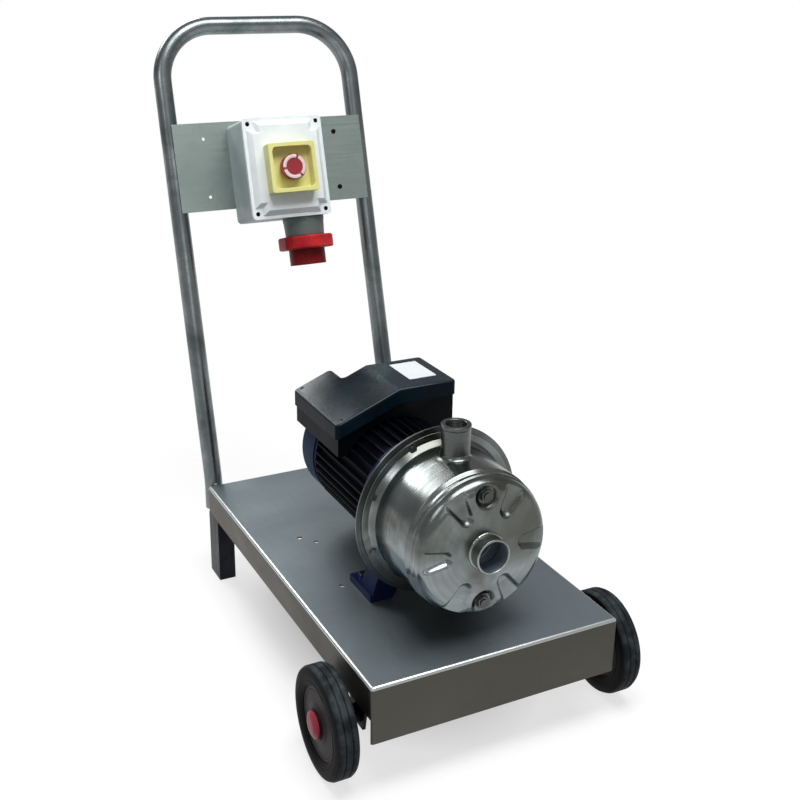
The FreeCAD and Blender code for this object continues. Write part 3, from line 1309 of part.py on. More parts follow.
def make_control_lid():
    back = f"{CTRL_BACK}+ctrl_deep+gasket_thick"
    body = new_body("control_box_lid")
    plan = sketch_on(body, "XZ_Plane", "control_lid_plan", back)
    rectangle(plan, *CTRL_EDGES)
    pad(body, plan, "ctrl_lid")
    soften(body, "Fillet", "ctrl_corner", is_along_y)
    panel = sketch_on(body, "XZ_Plane", "control_lid_panel", f"{back}+ctrl_lid")
    cross_outline(panel, "ctrl_rim", "(ctrl_notch-ctrl_rim)")
    pad(body, panel, "ctrl_panel")
    front = -size(f"{back}+ctrl_lid+ctrl_panel")
    soften(body, "Chamfer", "ctrl_shoulder",
           lambda edge: all(abs(vertex.Point.y - front) < 1e-3 for vertex in edge.Vertexes))
    hollow = sketch_on(body, "XZ_Plane", "control_lid_hollow", back)
    cross_outline(hollow, "ctrl_wall", "(ctrl_post-ctrl_wall)")
    pocket(body, hollow, "ctrl_lid-ctrl_wall", back=True)
    room = sketch_on(body, "XZ_Plane", "control_lid_room", back)
    cross_outline(room, "ctrl_notch+ctrl_wall", "1")
    pocket(body, room, "ctrl_lid+ctrl_panel-ctrl_wall*1.5", back=True)
    hole = sketch_on(body, "XZ_Plane", "control_lid_hole", f"{back}+ctrl_lid+ctrl_panel")
    circle(hole, "ctrl_x", "stop_rise", "stop_barrel/2+barrel_play")
    pocket(body, hole, "ctrl_lid")
    seats = sketch_on(body, "XZ_Plane", "control_lid_seats", f"{back}+ctrl_lid")
    for across, up in screw_places():
        circle(seats, across, up, "ctrl_screw/2")
    pocket(body, seats, "ctrl_lid/2")
    through = sketch_on(body, "XZ_Plane", "control_lid_through", f"{back}+ctrl_lid")
    for across, up in screw_places():
        circle(through, across, up, "ctrl_screw/4+0.2")
    pocket(body, through, "ctrl_lid+1")
    keep(body, leaning)


def make_control_screws():
    master = new_body("control_screw_master")
    head = sketch_on(master, "XZ_Plane", "control_screw_head")
    circle(head, "0", "0", "ctrl_screw/2")
    pad(master, head, "ctrl_lid/2-1")
    slot = sketch_on(master, "XZ_Plane", "control_screw_slot", "ctrl_lid/2-1")
    rectangle(slot, "-ctrl_screw", "ctrl_screw", "-0.6", "0.6")
    pocket(master, slot, "1.2")
    shank = sketch_on(master, "XZ_Plane", "control_screw_shank")
    circle(shank, "0", "0", "ctrl_screw/4")
    pad(master, shank, "ctrl_lid/2+gasket_thick+20", back=True)
    seat = f"{CTRL_BACK}+ctrl_deep+gasket_thick+ctrl_lid/2"
    frames = [frame_at(size(across), -size(seat), size(up)) for across, up in screw_places()]
    keep(group("control_lid_screws", master, frames), leaning)


def make_control_bolts():
    master = new_body("control_bolt_master")
    head = sketch_on(master, "XZ_Plane", "control_bolt_head")
    circle(head, "0", "0", "ctrl_bolt")
    pad(master, head, "3")
    shank = sketch_on(master, "XZ_Plane", "control_bolt_shank")
    circle(shank, "0", "0", "ctrl_bolt/2")
    pad(master, shank, "ctrl_wall+plate_thick+6", back=True)
    nut = sketch_on(master, "XZ_Plane", "control_bolt_nut", "-ctrl_wall-plate_thick")
    hexagon(nut, "0", "0", "ctrl_bolt*1.6")
    pad(master, nut, "4", back=True)
    frames = []
    for side in (-1, 1):
        for rise in (-1, 1):
            x = size("ctrl_x") + side * size("ctrl_bolt_across/2")
            z = size("(ctrl_low+ctrl_high)/2") + rise * size("ctrl_bolt_up/2")
            frames.append(frame_at(x, -size(f"{CTRL_BACK}+ctrl_wall"), z))
    keep(group("control_box_bolts", master, frames), leaning)


# Emergency stop: yellow shroud, red mushroom, sliding stem and fixed contact block.
LID_FACE = f"{CTRL_BACK}+ctrl_deep+gasket_thick+ctrl_lid+ctrl_panel"


def make_stop():
    shroud = new_body("stop_shroud")
    plan = sketch_on(shroud, "XZ_Plane", "shroud_plan", LID_FACE)
    half = "shroud_side/2"
    rectangle(plan, f"ctrl_x-{half}", f"ctrl_x+{half}", f"stop_rise-{half}", f"stop_rise+{half}")
    pad(shroud, plan, "shroud_tall")
    soften(shroud, "Fillet", "4", is_along_y)
    well = sketch_on(shroud, "XZ_Plane", "shroud_well_plan", f"{LID_FACE}+shroud_tall")
    half = "shroud_well/2"
    rectangle(well, f"ctrl_x-{half}", f"ctrl_x+{half}", f"stop_rise-{half}", f"stop_rise+{half}")
    pocket(shroud, well, "shroud_tall-shroud_floor")
    reach = size("shroud_well/2")
    centre_x, centre_z = size("ctrl_x"), size("stop_rise")

    def in_well(edge):
        middle = edge.CenterOfMass
        return (is_along_y(edge) and abs(abs(middle.x - centre_x) - reach) < 1e-3
                and abs(abs(middle.z - centre_z) - reach) < 1e-3)
    soften(shroud, "Fillet", "shroud_round", in_well)
    hole = sketch_on(shroud, "XZ_Plane", "shroud_hole", f"{LID_FACE}+shroud_floor")
    circle(hole, "ctrl_x", "stop_rise", "stop_barrel/2+barrel_play")
    pocket(shroud, hole, "shroud_floor+1")
    keep(shroud, leaning)

    block = new_body("stop_contact_block")
    back = f"{LID_FACE}-ctrl_wall*1.5"
    body_plan = sketch_on(block, "XZ_Plane", "contact_block_plan", f"{back}-40")
    rectangle(body_plan, "ctrl_x-16", "ctrl_x+16", "stop_rise-20", "stop_rise+20")
    pad(block, body_plan, "40")
    barrel = sketch_on(block, "XZ_Plane", "stop_barrel_ring", back)
    circle(barrel, "ctrl_x", "stop_rise", "stop_barrel/2")
    pad(block, barrel, "ctrl_wall*1.5+shroud_floor")
    bore = sketch_on(block, "XZ_Plane", "stop_bore", f"{LID_FACE}+shroud_floor")
    circle(bore, "ctrl_x", "stop_rise", "stop_stem/2+slide_play")
    pocket(block, bore, "ctrl_wall*1.5+shroud_floor+30")
    keep(block, leaning)

    rear_face = f"({LID_FACE}+shroud_floor+stop_travel+1)"
    stem = new_body("stop_stem")
    rod = sketch_on(stem, "XZ_Plane", "stop_stem_round", f"{LID_FACE}-22")
    circle(rod, "ctrl_x", "stop_rise", "stop_stem/2")
    pad(stem, rod, f"{rear_face}+8-({LID_FACE}-22)")
    keep(stem, leaning)

    button = turned("stop_button", [
        ("stop_stem/2+axle_play", "0"), ("mushroom_round/2-3", "0"), ("mushroom_round/2-1", "-2"),
        ("mushroom_round/2-2", "-mushroom_tall+9"), ("mushroom_round/2", "-mushroom_tall+6"),
        ("mushroom_round/2", "-mushroom_tall+2.5"), ("mushroom_round/2-2", "-mushroom_tall+0.8"),
        ("mushroom_round/2-6", "-mushroom_tall"), ("0", "-mushroom_tall"), ("0", "-8.5"),
        ("stop_stem/2+axle_play", "-8.5")])
    keep(button, leaning.multiply(frame_at(size("ctrl_x"), -size(rear_face), size("stop_rise"))))


# Power inlet: it hangs below the control box, along the handle's lean.
def make_inlet():
    # Local Y points up along the handle here, so the inlet hangs towards local -Y.
    place = leaning.multiply(frame_at(size("inlet_x"), -size(f"{CTRL_BACK}+inlet_out"), size("ctrl_low"),
                                      FreeCAD.Rotation(V(1, 0, 0), 90)))
    deep = "inlet_tall+12"
    shell = "inlet_shell/2-inlet_shell_wall"
    body = turned("inlet_body", [
        ("0", "ctrl_wall+4"), ("inlet_entry/2", "ctrl_wall+4"), ("inlet_entry/2", "0"),
        ("inlet_top/2", "0"), ("inlet_neck/2", "-inlet_tall"), (shell, "-inlet_tall"),
        (shell, f"-({deep})"), ("0", f"-({deep})")])
    keep(body, place)
    sleeve = turned("inlet_sleeve", [
        (shell, "-inlet_tall"), ("inlet_shell/2", "-inlet_tall"), ("inlet_shell/2", "-inlet_tall-inlet_sleeve_end"),
        (shell, "-inlet_tall-inlet_sleeve_end")])
    keep(sleeve, place)
    bore = "inlet_shell/2+inlet_ring_play"
    start = "inlet_tall+0.5"
    ring = turned("inlet_ring", [
        (bore, f"-({start})"), ("inlet_ring/2-2", f"-({start})"), ("inlet_ring/2", f"-({start})-2"),
        ("inlet_ring/2", f"-({start})-inlet_ring_tall+2"), ("inlet_ring/2-2", f"-({start})-inlet_ring_tall"),
        (bore, f"-({start})-inlet_ring_tall")])
    groove = sketch_on(ring, "XZ_Plane", "ring_grip_flat", f"{start}-1")
    rectangle(groove, "inlet_ring/2-ring_flat", "inlet_ring/2+2", "-inlet_ring/2", "inlet_ring/2")
    first = pocket(ring, groove, "inlet_ring_tall+2", back=True)
    around(ring, [first], "Y_Axis", "ring_flats")
    keep(ring, place)
    pin_master = new_body("inlet_pin_master")
    stub = sketch_on(pin_master, "XZ_Plane", "inlet_pin_round")
    circle(stub, "0", "0", "pin_round/2")
    pad(pin_master, stub, "30")
    frames = []
    for index in range(5):
        angle = math.radians(90 + 72 * index)
        reach = size("pin_ring/2")
        frames.append(frame_at(reach * math.cos(angle), -size(deep), reach * math.sin(angle)))
    keep(group("inlet_pins", pin_master, frames), place)


make_tray()
make_leg("rear_leg_left", "-tray_wide/2")
make_leg("rear_leg_right", "tray_wide/2-leg_wide")
make_end_plugs()
make_handle()
make_cross_plate()
make_axle()
make_axle_brackets()
make_axle_caps()
make_wheel("right", FreeCAD.Rotation())
make_wheel("left", FreeCAD.Rotation(V(0, 0, 1), 180))
make_casing()
make_ports()
make_plugs()
make_flange_bolts()
make_seal_disc()
make_shaft_seal()
make_shaft()
make_impellers()
make_stages()
make_adapter()
make_foot_bolts()
make_motor_housing()
make_stator()
make_bearings()
make_rear_shield()
make_fan()
make_fan_cover()
make_terminal_base()
make_terminal_lid()
make_terminal_details()
make_control_base()
make_control_gasket()
make_control_lid()
make_control_screws()
make_control_bolts()
make_stop()
make_inlet()

doc.recompute()
for item in doc.Objects:
    if "Invalid" in item.State or "Error" in item.State:
        raise RuntimeError(f"{item.Name} is {item.State}")
for node in NODES:
    if node.Shape.isNull() or not node.Shape.isValid():
        raise RuntimeError(f"{node.Label} has no valid shape")

os.makedirs("parts", exist_ok=True)
for node in NODES:
    node.Shape.exportStep(os.path.join("parts", node.Label + ".step"))
print(len(NODES), "sub-parts written")
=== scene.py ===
# Looks of the trolley pump: finishes for the frame's own nodes, and finer surfaces for the forms
# that show.
import bmesh
import bpy
import json
import math
import numpy as np
from mathutils import Matrix, Vector

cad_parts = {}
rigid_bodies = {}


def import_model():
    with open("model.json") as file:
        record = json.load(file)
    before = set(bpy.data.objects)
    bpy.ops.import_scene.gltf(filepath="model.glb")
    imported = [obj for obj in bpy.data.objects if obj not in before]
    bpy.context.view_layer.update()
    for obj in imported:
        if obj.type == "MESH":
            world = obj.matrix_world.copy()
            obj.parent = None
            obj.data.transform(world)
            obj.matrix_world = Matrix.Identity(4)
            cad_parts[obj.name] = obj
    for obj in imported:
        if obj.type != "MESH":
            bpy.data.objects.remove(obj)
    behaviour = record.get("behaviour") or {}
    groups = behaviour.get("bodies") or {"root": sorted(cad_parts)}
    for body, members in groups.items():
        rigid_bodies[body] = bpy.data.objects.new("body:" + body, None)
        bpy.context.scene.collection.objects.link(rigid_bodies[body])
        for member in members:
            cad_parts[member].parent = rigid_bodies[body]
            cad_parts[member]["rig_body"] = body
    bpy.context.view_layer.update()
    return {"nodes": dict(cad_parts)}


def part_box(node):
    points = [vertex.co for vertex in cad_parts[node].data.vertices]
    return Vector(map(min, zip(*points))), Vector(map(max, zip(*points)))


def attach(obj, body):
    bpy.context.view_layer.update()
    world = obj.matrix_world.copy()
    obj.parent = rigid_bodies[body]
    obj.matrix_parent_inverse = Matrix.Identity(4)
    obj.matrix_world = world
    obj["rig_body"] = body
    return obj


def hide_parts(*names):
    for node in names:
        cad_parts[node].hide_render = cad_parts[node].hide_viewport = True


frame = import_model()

MM = 0.001
NODES = frame["nodes"]

# sizes and centres that the frame's solids have, in millimetres and degrees
LEAN = 16.2
TRAY_TOP = 168.0
AXLE_ROUND = 20.0
DRUM_RADIUS = 107.5
HANDLE_HALF = 184
HANDLE_LONG = 827
PUMP_AT = (-6, -293.863, 308)
AXLE_AT = (0, -398.863, 80)
HEEL_AT = (0, 232.137, TRAY_TOP)


# ---------------------------------------------------------------- places
def shift(x, y, z):
    """Place that moves by x, y, z millimetres."""
    place = np.eye(4)
    place[:3, 3] = (x, y, z)
    return place


def turn(axis, degrees):
    """Place that turns about one main axis by the right-hand rule."""
    place = np.eye(4)
    place[:3, :3] = np.array(Matrix.Rotation(math.radians(degrees), 3, axis))
    return place


PUMP = shift(*PUMP_AT)
HANDLE = shift(*HEEL_AT) @ turn("X", -LEAN)
AXLE = shift(*AXLE_AT) @ turn("Z", -90)
AXLE_LEFT = shift(*AXLE_AT) @ turn("Z", 90)
STOP = HANDLE @ shift(-8, -126.5, 547)
INLET = HANDLE @ shift(27, -65, 461) @ turn("X", 90)


# ---------------------------------------------------------------- shader nodes
def add(tree, kind, inputs=None, **settings):
    """Adds a shader node; settings go on it, and inputs are values or sockets for its sockets."""
    made = tree.nodes.new("ShaderNode" + kind)
    for name, value in settings.items():
        setattr(made, name, value)
    for name, value in (inputs or {}).items():
        if isinstance(value, bpy.types.NodeSocket):
            tree.links.new(value, made.inputs[name])
        else:
            made.inputs[name].default_value = value
    return made


def linear(text):
    """Turns an sRGB hex colour into linear red, green, blue and full alpha, by the sRGB curve."""
    parts = np.array([int(text[at:at + 2], 16) for at in (0, 2, 4)]) / 255
    curve = np.where(parts <= 0.04045, parts / 12.92, ((parts + 0.055) / 1.055) ** 2.4)
    return (*curve.tolist(), 1.0)


def between(tree, value, low, high, start=0.0, end=1.0):
    """Maps a value from start..end to low..high."""
    return add(tree, "MapRange", {"Value": value, "From Min": start, "From Max": end,
                                  "To Min": low, "To Max": high}).outputs["Result"]


def mixed_value(tree, share, first, second):
    """Value between two values by a share: first + share * (second - first)."""
    rise = add(tree, "Math", {0: second, 1: first}, operation="SUBTRACT").outputs[0]
    return add(tree, "Math", {0: rise, 1: share, 2: first}, operation="MULTIPLY_ADD").outputs[0]


def mixed(tree, share, first, second):
    """Colour between two colours, hex or sockets, by a share."""
    mix = add(tree, "Mix", data_type="RGBA")
    sockets = {"Factor": mix.inputs[0], "A": mix.inputs[6], "B": mix.inputs[7]}
    for label, value in (("Factor", share), ("A", first), ("B", second)):
        if isinstance(value, bpy.types.NodeSocket):
            tree.links.new(value, sockets[label])
        else:
            sockets[label].default_value = linear(value) if isinstance(value, str) else value
    return mix.outputs[2]


def seen_ray(tree):
    """One where the ray comes from the camera, a reflection or a clear body, else nought."""
    path = add(tree, "LightPath").outputs
    first = add(tree, "Math", {0: path["Is Camera Ray"], 1: path["Is Glossy Ray"]},
                operation="MAXIMUM").outputs[0]
    return add(tree, "Math", {0: first, 1: path["Is Transmission Ray"]},
               operation="MAXIMUM").outputs[0]


# ---------------------------------------------------------------- camera, light and floor
def aim_camera():
    """Camera at the photograph's place: 27 degrees to the left of the front, 18 above level,
    rolled 0.6. It stands at a place in metres that was worked out from the tray's edges."""
    azimuth, rise, roll = (math.radians(angle) for angle in (-26.996, 18.037, 0.623))
    standpoint = (-0.7717, -1.66976, 1.0902)
    back = np.array((math.sin(azimuth) * math.cos(rise), -math.cos(azimuth) * math.cos(rise),
                     math.sin(rise)))
    right = np.cross(-back, (0, 0, 1))
    right /= np.linalg.norm(right)
    up = np.cross(back, right)
    across = math.cos(roll) * right + math.sin(roll) * up
    upward = math.cos(roll) * up - math.sin(roll) * right
    stand = np.eye(4)
    stand[:3, 0], stand[:3, 1], stand[:3, 2], stand[:3, 3] = across, upward, back, standpoint
    lens = bpy.data.cameras.new("camera")
    lens.sensor_width, lens.lens = 36.0, 52.75
    lens.shift_x, lens.shift_y = -0.0005, -0.080
    camera = bpy.data.objects.new("camera", lens)
    camera.matrix_world = Matrix(stand.tolist())
    bpy.context.scene.collection.objects.link(camera)
    bpy.context.scene.camera = camera


def light_studio():
    """Plain soft studio: white behind the object for the camera, dimmer all round it, a wide soft
    lamp overhead and three weaker ones, each aimed at the middle of the object."""
    rear_glow, front_glow, fill = 0.46, 0.34, 0.13
    world = bpy.data.worlds.new("studio")
    bpy.context.scene.world = world
    world.use_nodes = True
    tree = world.node_tree
    tree.nodes.clear()
    toward = add(tree, "SeparateXYZ", {0: add(tree, "TexCoord").outputs["Generated"]}).outputs["Y"]
    room = between(tree, toward, rear_glow, front_glow, -0.35, 0.25)
    path = add(tree, "LightPath").outputs["Is Camera Ray"]
    shown = add(tree, "Math", {0: room, 1: path}, operation="MAXIMUM").outputs[0]
    level = mixed_value(tree, seen_ray(tree), fill, shown)
    glow = add(tree, "Background", {"Color": linear("ffffff"), "Strength": level})
    add(tree, "OutputWorld", {"Surface": glow.outputs[0]})
    # name, place in metres, width and depth in metres, watts
    lamps = [("key", (0.15, -0.75, 3.05), 2.1, 1.4, 84), ("front", (-0.4, -2.4, 1.6), 1.6, 1.0, 5),
             ("left", (-1.75, -0.7, 1.95), 0.7, 0.7, 6), ("rear", (-0.5, 2.2, 2.0), 1.8, 0.8, 37)]
    middle = Vector((0, -0.1, 0.4))
    for name, spot, wide, deep, power in lamps:
        lamp = bpy.data.lights.new(name, "AREA")
        lamp.shape = "RECTANGLE"
        lamp.size, lamp.size_y, lamp.energy = wide, deep, power
        holder = bpy.data.objects.new(name, lamp)
        holder.location = spot
        aim = middle - holder.location
        holder.rotation_euler = aim.to_track_quat("-Z", "Y").to_euler()
        bpy.context.scene.collection.objects.link(holder)


def lay_floor():
    """Pale floor: lifted to white for the camera, with the object's own soft shadow left on it, and
    a painted shadow under the tray, where the lift is less. From 0.7 to 1.35 m out it turns to
    plain white."""
    half = 30
    # the first pair is the painted shadow under the tray: a lower lift there
    painted_tray_shadow, open_floor = (0.25, 0.1), (0.7, 0.38)  # lift, and how far out it holds, in metres
    plain_from, plain_to = 0.7, 1.35
    mesh = bpy.data.meshes.new("floor")
    mesh.from_pydata([(-half, -half, 0), (half, -half, 0), (half, half, 0), (-half, half, 0)], [],
                     [(0, 1, 2, 3)])
    material = bpy.data.materials.new("floor_paint")
    material.use_nodes = True
    tree = material.node_tree
    tree.nodes.clear()
    paint = add(tree, "BsdfDiffuse", {"Color": linear("989898")})
    place = add(tree, "TexCoord").outputs["Object"]
    # painted shadow: an oval round the tray's middle where the lift drops
    under = add(tree, "Mapping", {"Vector": place, "Location": (0, 0.08, 0),
                                  "Scale": (1.7, 1, 0)}).outputs[0]
    aside = add(tree, "VectorMath", {0: under}, operation="LENGTH").outputs["Value"]
    strength = between(tree, aside, painted_tray_shadow[0], open_floor[0], painted_tray_shadow[1], open_floor[1])
    lift = add(tree, "Emission", {"Color": linear("ffffff"), "Strength": strength})
    lifted = add(tree, "AddShader", {0: paint.outputs[0], 1: lift.outputs[0]})
    white = add(tree, "Emission", {"Color": linear("ffffff"), "Strength": 1.0})
    away = add(tree, "VectorMath", {0: place}, operation="LENGTH").outputs["Value"]
    far = between(tree, away, 0.0, 1.0, plain_from, plain_to)
    near = add(tree, "MixShader", {0: far, 1: lifted.outputs[0], 2: white.outputs[0]})
    shown = add(tree, "MixShader", {0: seen_ray(tree), 1: paint.outputs[0], 2: near.outputs[0]})
    add(tree, "OutputMaterial", {"Surface": shown.outputs[0]})
    mesh.materials.append(material)
    floor = bpy.data.objects.new("floor", mesh)
    bpy.context.scene.collection.objects.link(floor)


# ---------------------------------------------------------------- finishes
def begin(name, **constants):
    """New finish: its Principled shader with constant values, and the object's own coordinates in
    metres."""
    material = bpy.data.materials.new(name)
    material.use_nodes = True
    tree = material.node_tree
    tree.nodes.clear()
    values = {label.replace("_", " "): value for label, value in constants.items()}
    shader = add(tree, "BsdfPrincipled", values)
    add(tree, "OutputMaterial", {"Surface": shader.outputs[0]})
    return material, tree, shader, add(tree, "TexCoord").outputs["Object"]


def reopened(material):
    """Tree and Principled shader of a finish that gets one more layer."""
    tree = material.node_tree
    return tree, next(item for item in tree.nodes if item.type == "BSDF_PRINCIPLED")


def source(shader, label):
    """Socket that feeds one of the shader's inputs."""
    return shader.inputs[label].links[0].from_socket


def join(tree, value, shader, label):
    """Feeds one of the shader's inputs from a socket."""
    tree.links.new(value, shader.inputs[label])


def roughen(tree, shader, fine, swing, slow, spread, strength, relief):
    """Roughness from a fine pattern and a slow one, added, and relief from the fine one.

    swing and spread are the lowest and highest roughness that each pattern gives."""
    uneven = add(tree, "Math", {0: between(tree, fine, *swing, 0.3, 0.7),
                                1: between(tree, slow, *spread, 0.3, 0.7)}, operation="ADD")
    join(tree, uneven.outputs[0], shader, "Roughness")
    bump = add(tree, "Bump", {"Height": fine, "Strength": strength, "Distance": relief})
    join(tree, bump.outputs[0], shader, "Normal")


def ground_metal(name, colour, shade, rough, run=(6, 330, 330), turned=(0, 0, 0), smudge=7.0,
                 relief=0.0002, depth=0.8):
    """Metal ground on a belt: long fine scratches along one direction, and hand-sized smudges.

    run is the grain's frequency along each axis, per metre: 330 is a scratch every 3 mm, coarser
    than the real 0.1 mm so that it shows. depth is how much darker a scratch may be."""
    material, tree, shader, place = begin(name, Metallic=1.0)
    grain_at = add(tree, "Mapping", {"Vector": place, "Rotation": turned, "Scale": run}).outputs[0]
    grain = add(tree, "TexNoise", {"Vector": grain_at, "Scale": 1.0, "Detail": 6.0,
                                   "Roughness": 0.65}).outputs[0]
    cloud = add(tree, "TexNoise", {"Vector": place, "Scale": smudge, "Detail": 4.0,
                                   "Roughness": 0.6, "Distortion": 0.6}).outputs[0]
    tint = mixed(tree, between(tree, cloud, 0.0, 1.0, 0.34, 0.66), colour, shade)
    line = between(tree, grain, 0.0, depth / 2, 0.35, 0.75)
    join(tree, mixed(tree, line, tint, shade), shader, "Base Color")
    roughen(tree, shader, grain, (-0.1 * depth, 0.1 * depth), cloud, (rough - 0.06, rough + 0.07),
            0.45 * depth, relief)
    return material


def tray_sheet():
    """Stainless sheet, ground along the tray; the folded sides are painted browner and darker for
    the shade on them, and the rounded folds between them get a painted highlight, lighter and
    smoother."""
    material = ground_metal("ground_stainless_sheet", "869094", "727c82", 0.5, (300, 9, 300),
                            smudge=4.0, depth=0.35)
    tree, shader = reopened(material)
    facing = add(tree, "NewGeometry").outputs["True Normal"]
    upward = add(tree, "SeparateXYZ", {0: facing}).outputs["Z"]
    # painted shade: the sides darken to a brown grey by how little they face up
    side = between(tree, upward, 1.0, 0.0, 0.3, 0.8)
    painted_shade_sides = mixed(tree, side, source(shader, "Base Color"), "514f49")
    # painted highlight: the rounded folds between the top and the sides turn near white
    painted_fold_highlight = add(tree, "Math", {0: between(tree, upward, 0.0, 1.0, 0.99, 0.93),
                                1: between(tree, upward, 0.0, 1.0, 0.08, 0.3)},
                 operation="MULTIPLY").outputs[0]
    join(tree, mixed(tree, painted_fold_highlight, painted_shade_sides, "c6caca"), shader, "Base Color")
    join(tree, mixed_value(tree, painted_fold_highlight, source(shader, "Roughness"), 0.3), shader, "Roughness")
    return material


def turned_metal(name, colour, shade, rough, centre, axis=1, ring=420.0, relief=0.00015,
                 sweep=9.0):
    """Metal turned or spun about one axis: fine rings round it, and soft darker patches.

    ring is how many tool marks lie in a metre of radius or length: 420 is one every 2.4 mm,
    coarser than the real 0.2 mm so that it shows."""
    material, tree, shader, place = begin(name, Metallic=1.0)
    moved = add(tree, "Mapping", {"Vector": place,
                                  "Location": [-value * MM for value in centre]}).outputs[0]
    parts = add(tree, "SeparateXYZ", {0: moved}).outputs
    one, two = [parts[label] for index, label in enumerate("XYZ") if index != axis]
    flat = add(tree, "CombineXYZ", {0: one, 1: two}).outputs[0]
    radius = add(tree, "VectorMath", {0: flat}, operation="LENGTH").outputs["Value"]
    around = add(tree, "Math", {0: one, 1: two}, operation="ARCTAN2").outputs[0]
    swing = add(tree, "Math", {0: around}, operation="SINE").outputs[0]
    out = add(tree, "Math", {0: radius, 1: ring}, operation="MULTIPLY").outputs[0]
    on = add(tree, "Math", {0: parts["XYZ"[axis]], 1: ring}, operation="MULTIPLY").outputs[0]
    drift = add(tree, "Math", {0: swing, 1: 0.6}, operation="MULTIPLY").outputs[0]
    tracks = add(tree, "CombineXYZ", {0: out, 1: on, 2: drift}).outputs[0]
    marks = add(tree, "TexNoise", {"Vector": tracks, "Scale": 1.0, "Detail": 4.0,
                                   "Roughness": 0.6}).outputs[0]
    cloud = add(tree, "TexNoise", {"Vector": place, "Scale": sweep, "Detail": 3.0,
                                   "Roughness": 0.55, "Distortion": 0.8}).outputs[0]
    tint = mixed(tree, between(tree, cloud, 0.0, 1.0, 0.35, 0.65), colour, shade)
    line = between(tree, marks, 0.0, 0.3, 0.4, 0.75)
    join(tree, mixed(tree, line, tint, shade), shader, "Base Color")
    roughen(tree, shader, marks, (-0.05, 0.06), cloud, (rough - 0.04, rough + 0.06), 0.3, relief)
    return material


def moulded(name, colour, shade, rough, grain=900.0, relief=0.00006, patch=14.0, **constants):
    """Moulded plastic or rubber: an etched skin grain, and slow changes of shade from handling.

    grain is the skin's frequency per metre: 900 is a pebble of about 1.1 mm, twice the real one,
    so that it shows."""
    material, tree, shader, place = begin(name, **constants)
    skin = add(tree, "TexNoise", {"Vector": place, "Scale": grain, "Detail": 2.0,
                                  "Roughness": 0.5}).outputs[0]
    cloud = add(tree, "TexNoise", {"Vector": place, "Scale": patch, "Detail": 5.0,
                                   "Roughness": 0.6}).outputs[0]
    share = between(tree, cloud, 0.0, 1.0, 0.33, 0.67)
    join(tree, mixed(tree, share, colour, shade), shader, "Base Color")
    roughen(tree, shader, skin, (-0.05, 0.05), cloud, (rough - 0.05, rough + 0.06), 0.5, relief)
    return material


def enamelled(name, colour, shade, rough, cast=0.0):
    """Sprayed enamel: orange peel about 7 mm wide, over sand-cast grain of about 2.4 mm where cast
    is set, both drawn a few times coarser than the real ones so that they show."""
    peel, sand_grain, patch = 140.0, 420.0, 10.0
    material, tree, shader, place = begin(name, Specular_IOR_Level=0.1)
    peeling = add(tree, "TexNoise", {"Vector": place, "Scale": peel, "Detail": 1.5,
                                     "Roughness": 0.4}).outputs[0]
    sand = add(tree, "TexNoise", {"Vector": place, "Scale": sand_grain, "Detail": 5.0,
                                  "Roughness": 0.7}).outputs[0]
    cloud = add(tree, "TexNoise", {"Vector": place, "Scale": patch, "Detail": 5.0,
                                   "Roughness": 0.62}).outputs[0]
    share = between(tree, cloud, 0.0, 1.0, 0.32, 0.68)
    join(tree, mixed(tree, share, colour, shade), shader, "Base Color")
    join(tree, between(tree, sand, rough - 0.05, rough + 0.1, 0.3, 0.7), shader, "Roughness")
    wave = add(tree, "Bump", {"Height": peeling, "Strength": 0.35, "Distance": 0.0003})
    grit = add(tree, "Bump", {"Height": sand, "Strength": cast, "Distance": 0.0004,
                              "Normal": wave.outputs[0]})
    join(tree, grit.outputs[0], shader, "Normal")
    return material


def rolled_rubber():
    """Solid black rubber: the walls stay as they left the mould, and the tread, from 76.5 to 79.5
    mm off the axle, is grey in patches, partly dust and partly a painted sheen."""
    wall, tread = 76.5 * MM, 79.5 * MM
    material = moulded("moulded_black_rubber", "050609", "0b0b0e", 0.6, 500.0, 0.00014, 22.0,
                       Specular_IOR_Level=0.08)
    tree, shader = reopened(material)
    place = add(tree, "TexCoord").outputs["Object"]
    off_axle = add(tree, "Mapping", {"Vector": place, "Scale": (0, 1, 1),
                                     "Location": [-value * MM for value in AXLE_AT]}).outputs[0]
    radius = add(tree, "VectorMath", {0: off_axle}, operation="LENGTH").outputs["Value"]
    scuff = add(tree, "TexNoise", {"Vector": place, "Scale": 45.0, "Detail": 5.0,
                                   "Roughness": 0.6}).outputs[0]
    # dust and painted sheen: the tread is lightened grey in noisy patches
    dust_and_sheen = add(tree, "Math", {0: between(tree, radius, 0.0, 1.0, wall, tread),
                              1: between(tree, scuff, 0.25, 1.0, 0.4, 0.65)},
               operation="MULTIPLY").outputs[0]
    join(tree, mixed(tree, dust_and_sheen, source(shader, "Base Color"), "3c4346"), shader, "Base Color")
    return material


def lid_plastic():
    """Dark ABS lid: slightly glossy on top, and the walls keep the dull grain of the mould."""
    material = moulded("grained_black_abs", "11222d", "09131b", 0.25, 800.0, 0.00004)
    tree, shader = reopened(material)
    facing = add(tree, "NewGeometry").outputs["Normal"]
    upward = add(tree, "SeparateXYZ", {0: facing}).outputs["Z"]
    join(tree, between(tree, upward, 0.04, 0.24, 0.3, 0.8), shader, "Specular IOR Level")
    return material


def laminated():
    """Electrical steel sheets pressed into a stack along the shaft, drawn as a line every 4 mm."""
    sheets = 250.0
    material, tree, shader, place = begin("laminated_steel", Metallic=1.0)
    parts = add(tree, "SeparateXYZ", {0: place}).outputs
    rise = add(tree, "Math", {0: parts["Y"], 1: sheets * 2 * math.pi},
               operation="MULTIPLY").outputs[0]
    line = add(tree, "Math", {0: rise}, operation="SINE").outputs[0]
    mottle = add(tree, "TexNoise", {"Vector": place, "Scale": 60.0, "Detail": 4.0}).outputs[0]
    gap = between(tree, line, 0.0, 1.0, -1.0, 0.4)
    join(tree, mixed(tree, gap, "4d4f52", "8c8e90"), shader, "Base Color")
    join(tree, between(tree, mottle, 0.35, 0.55), shader, "Roughness")
    return material


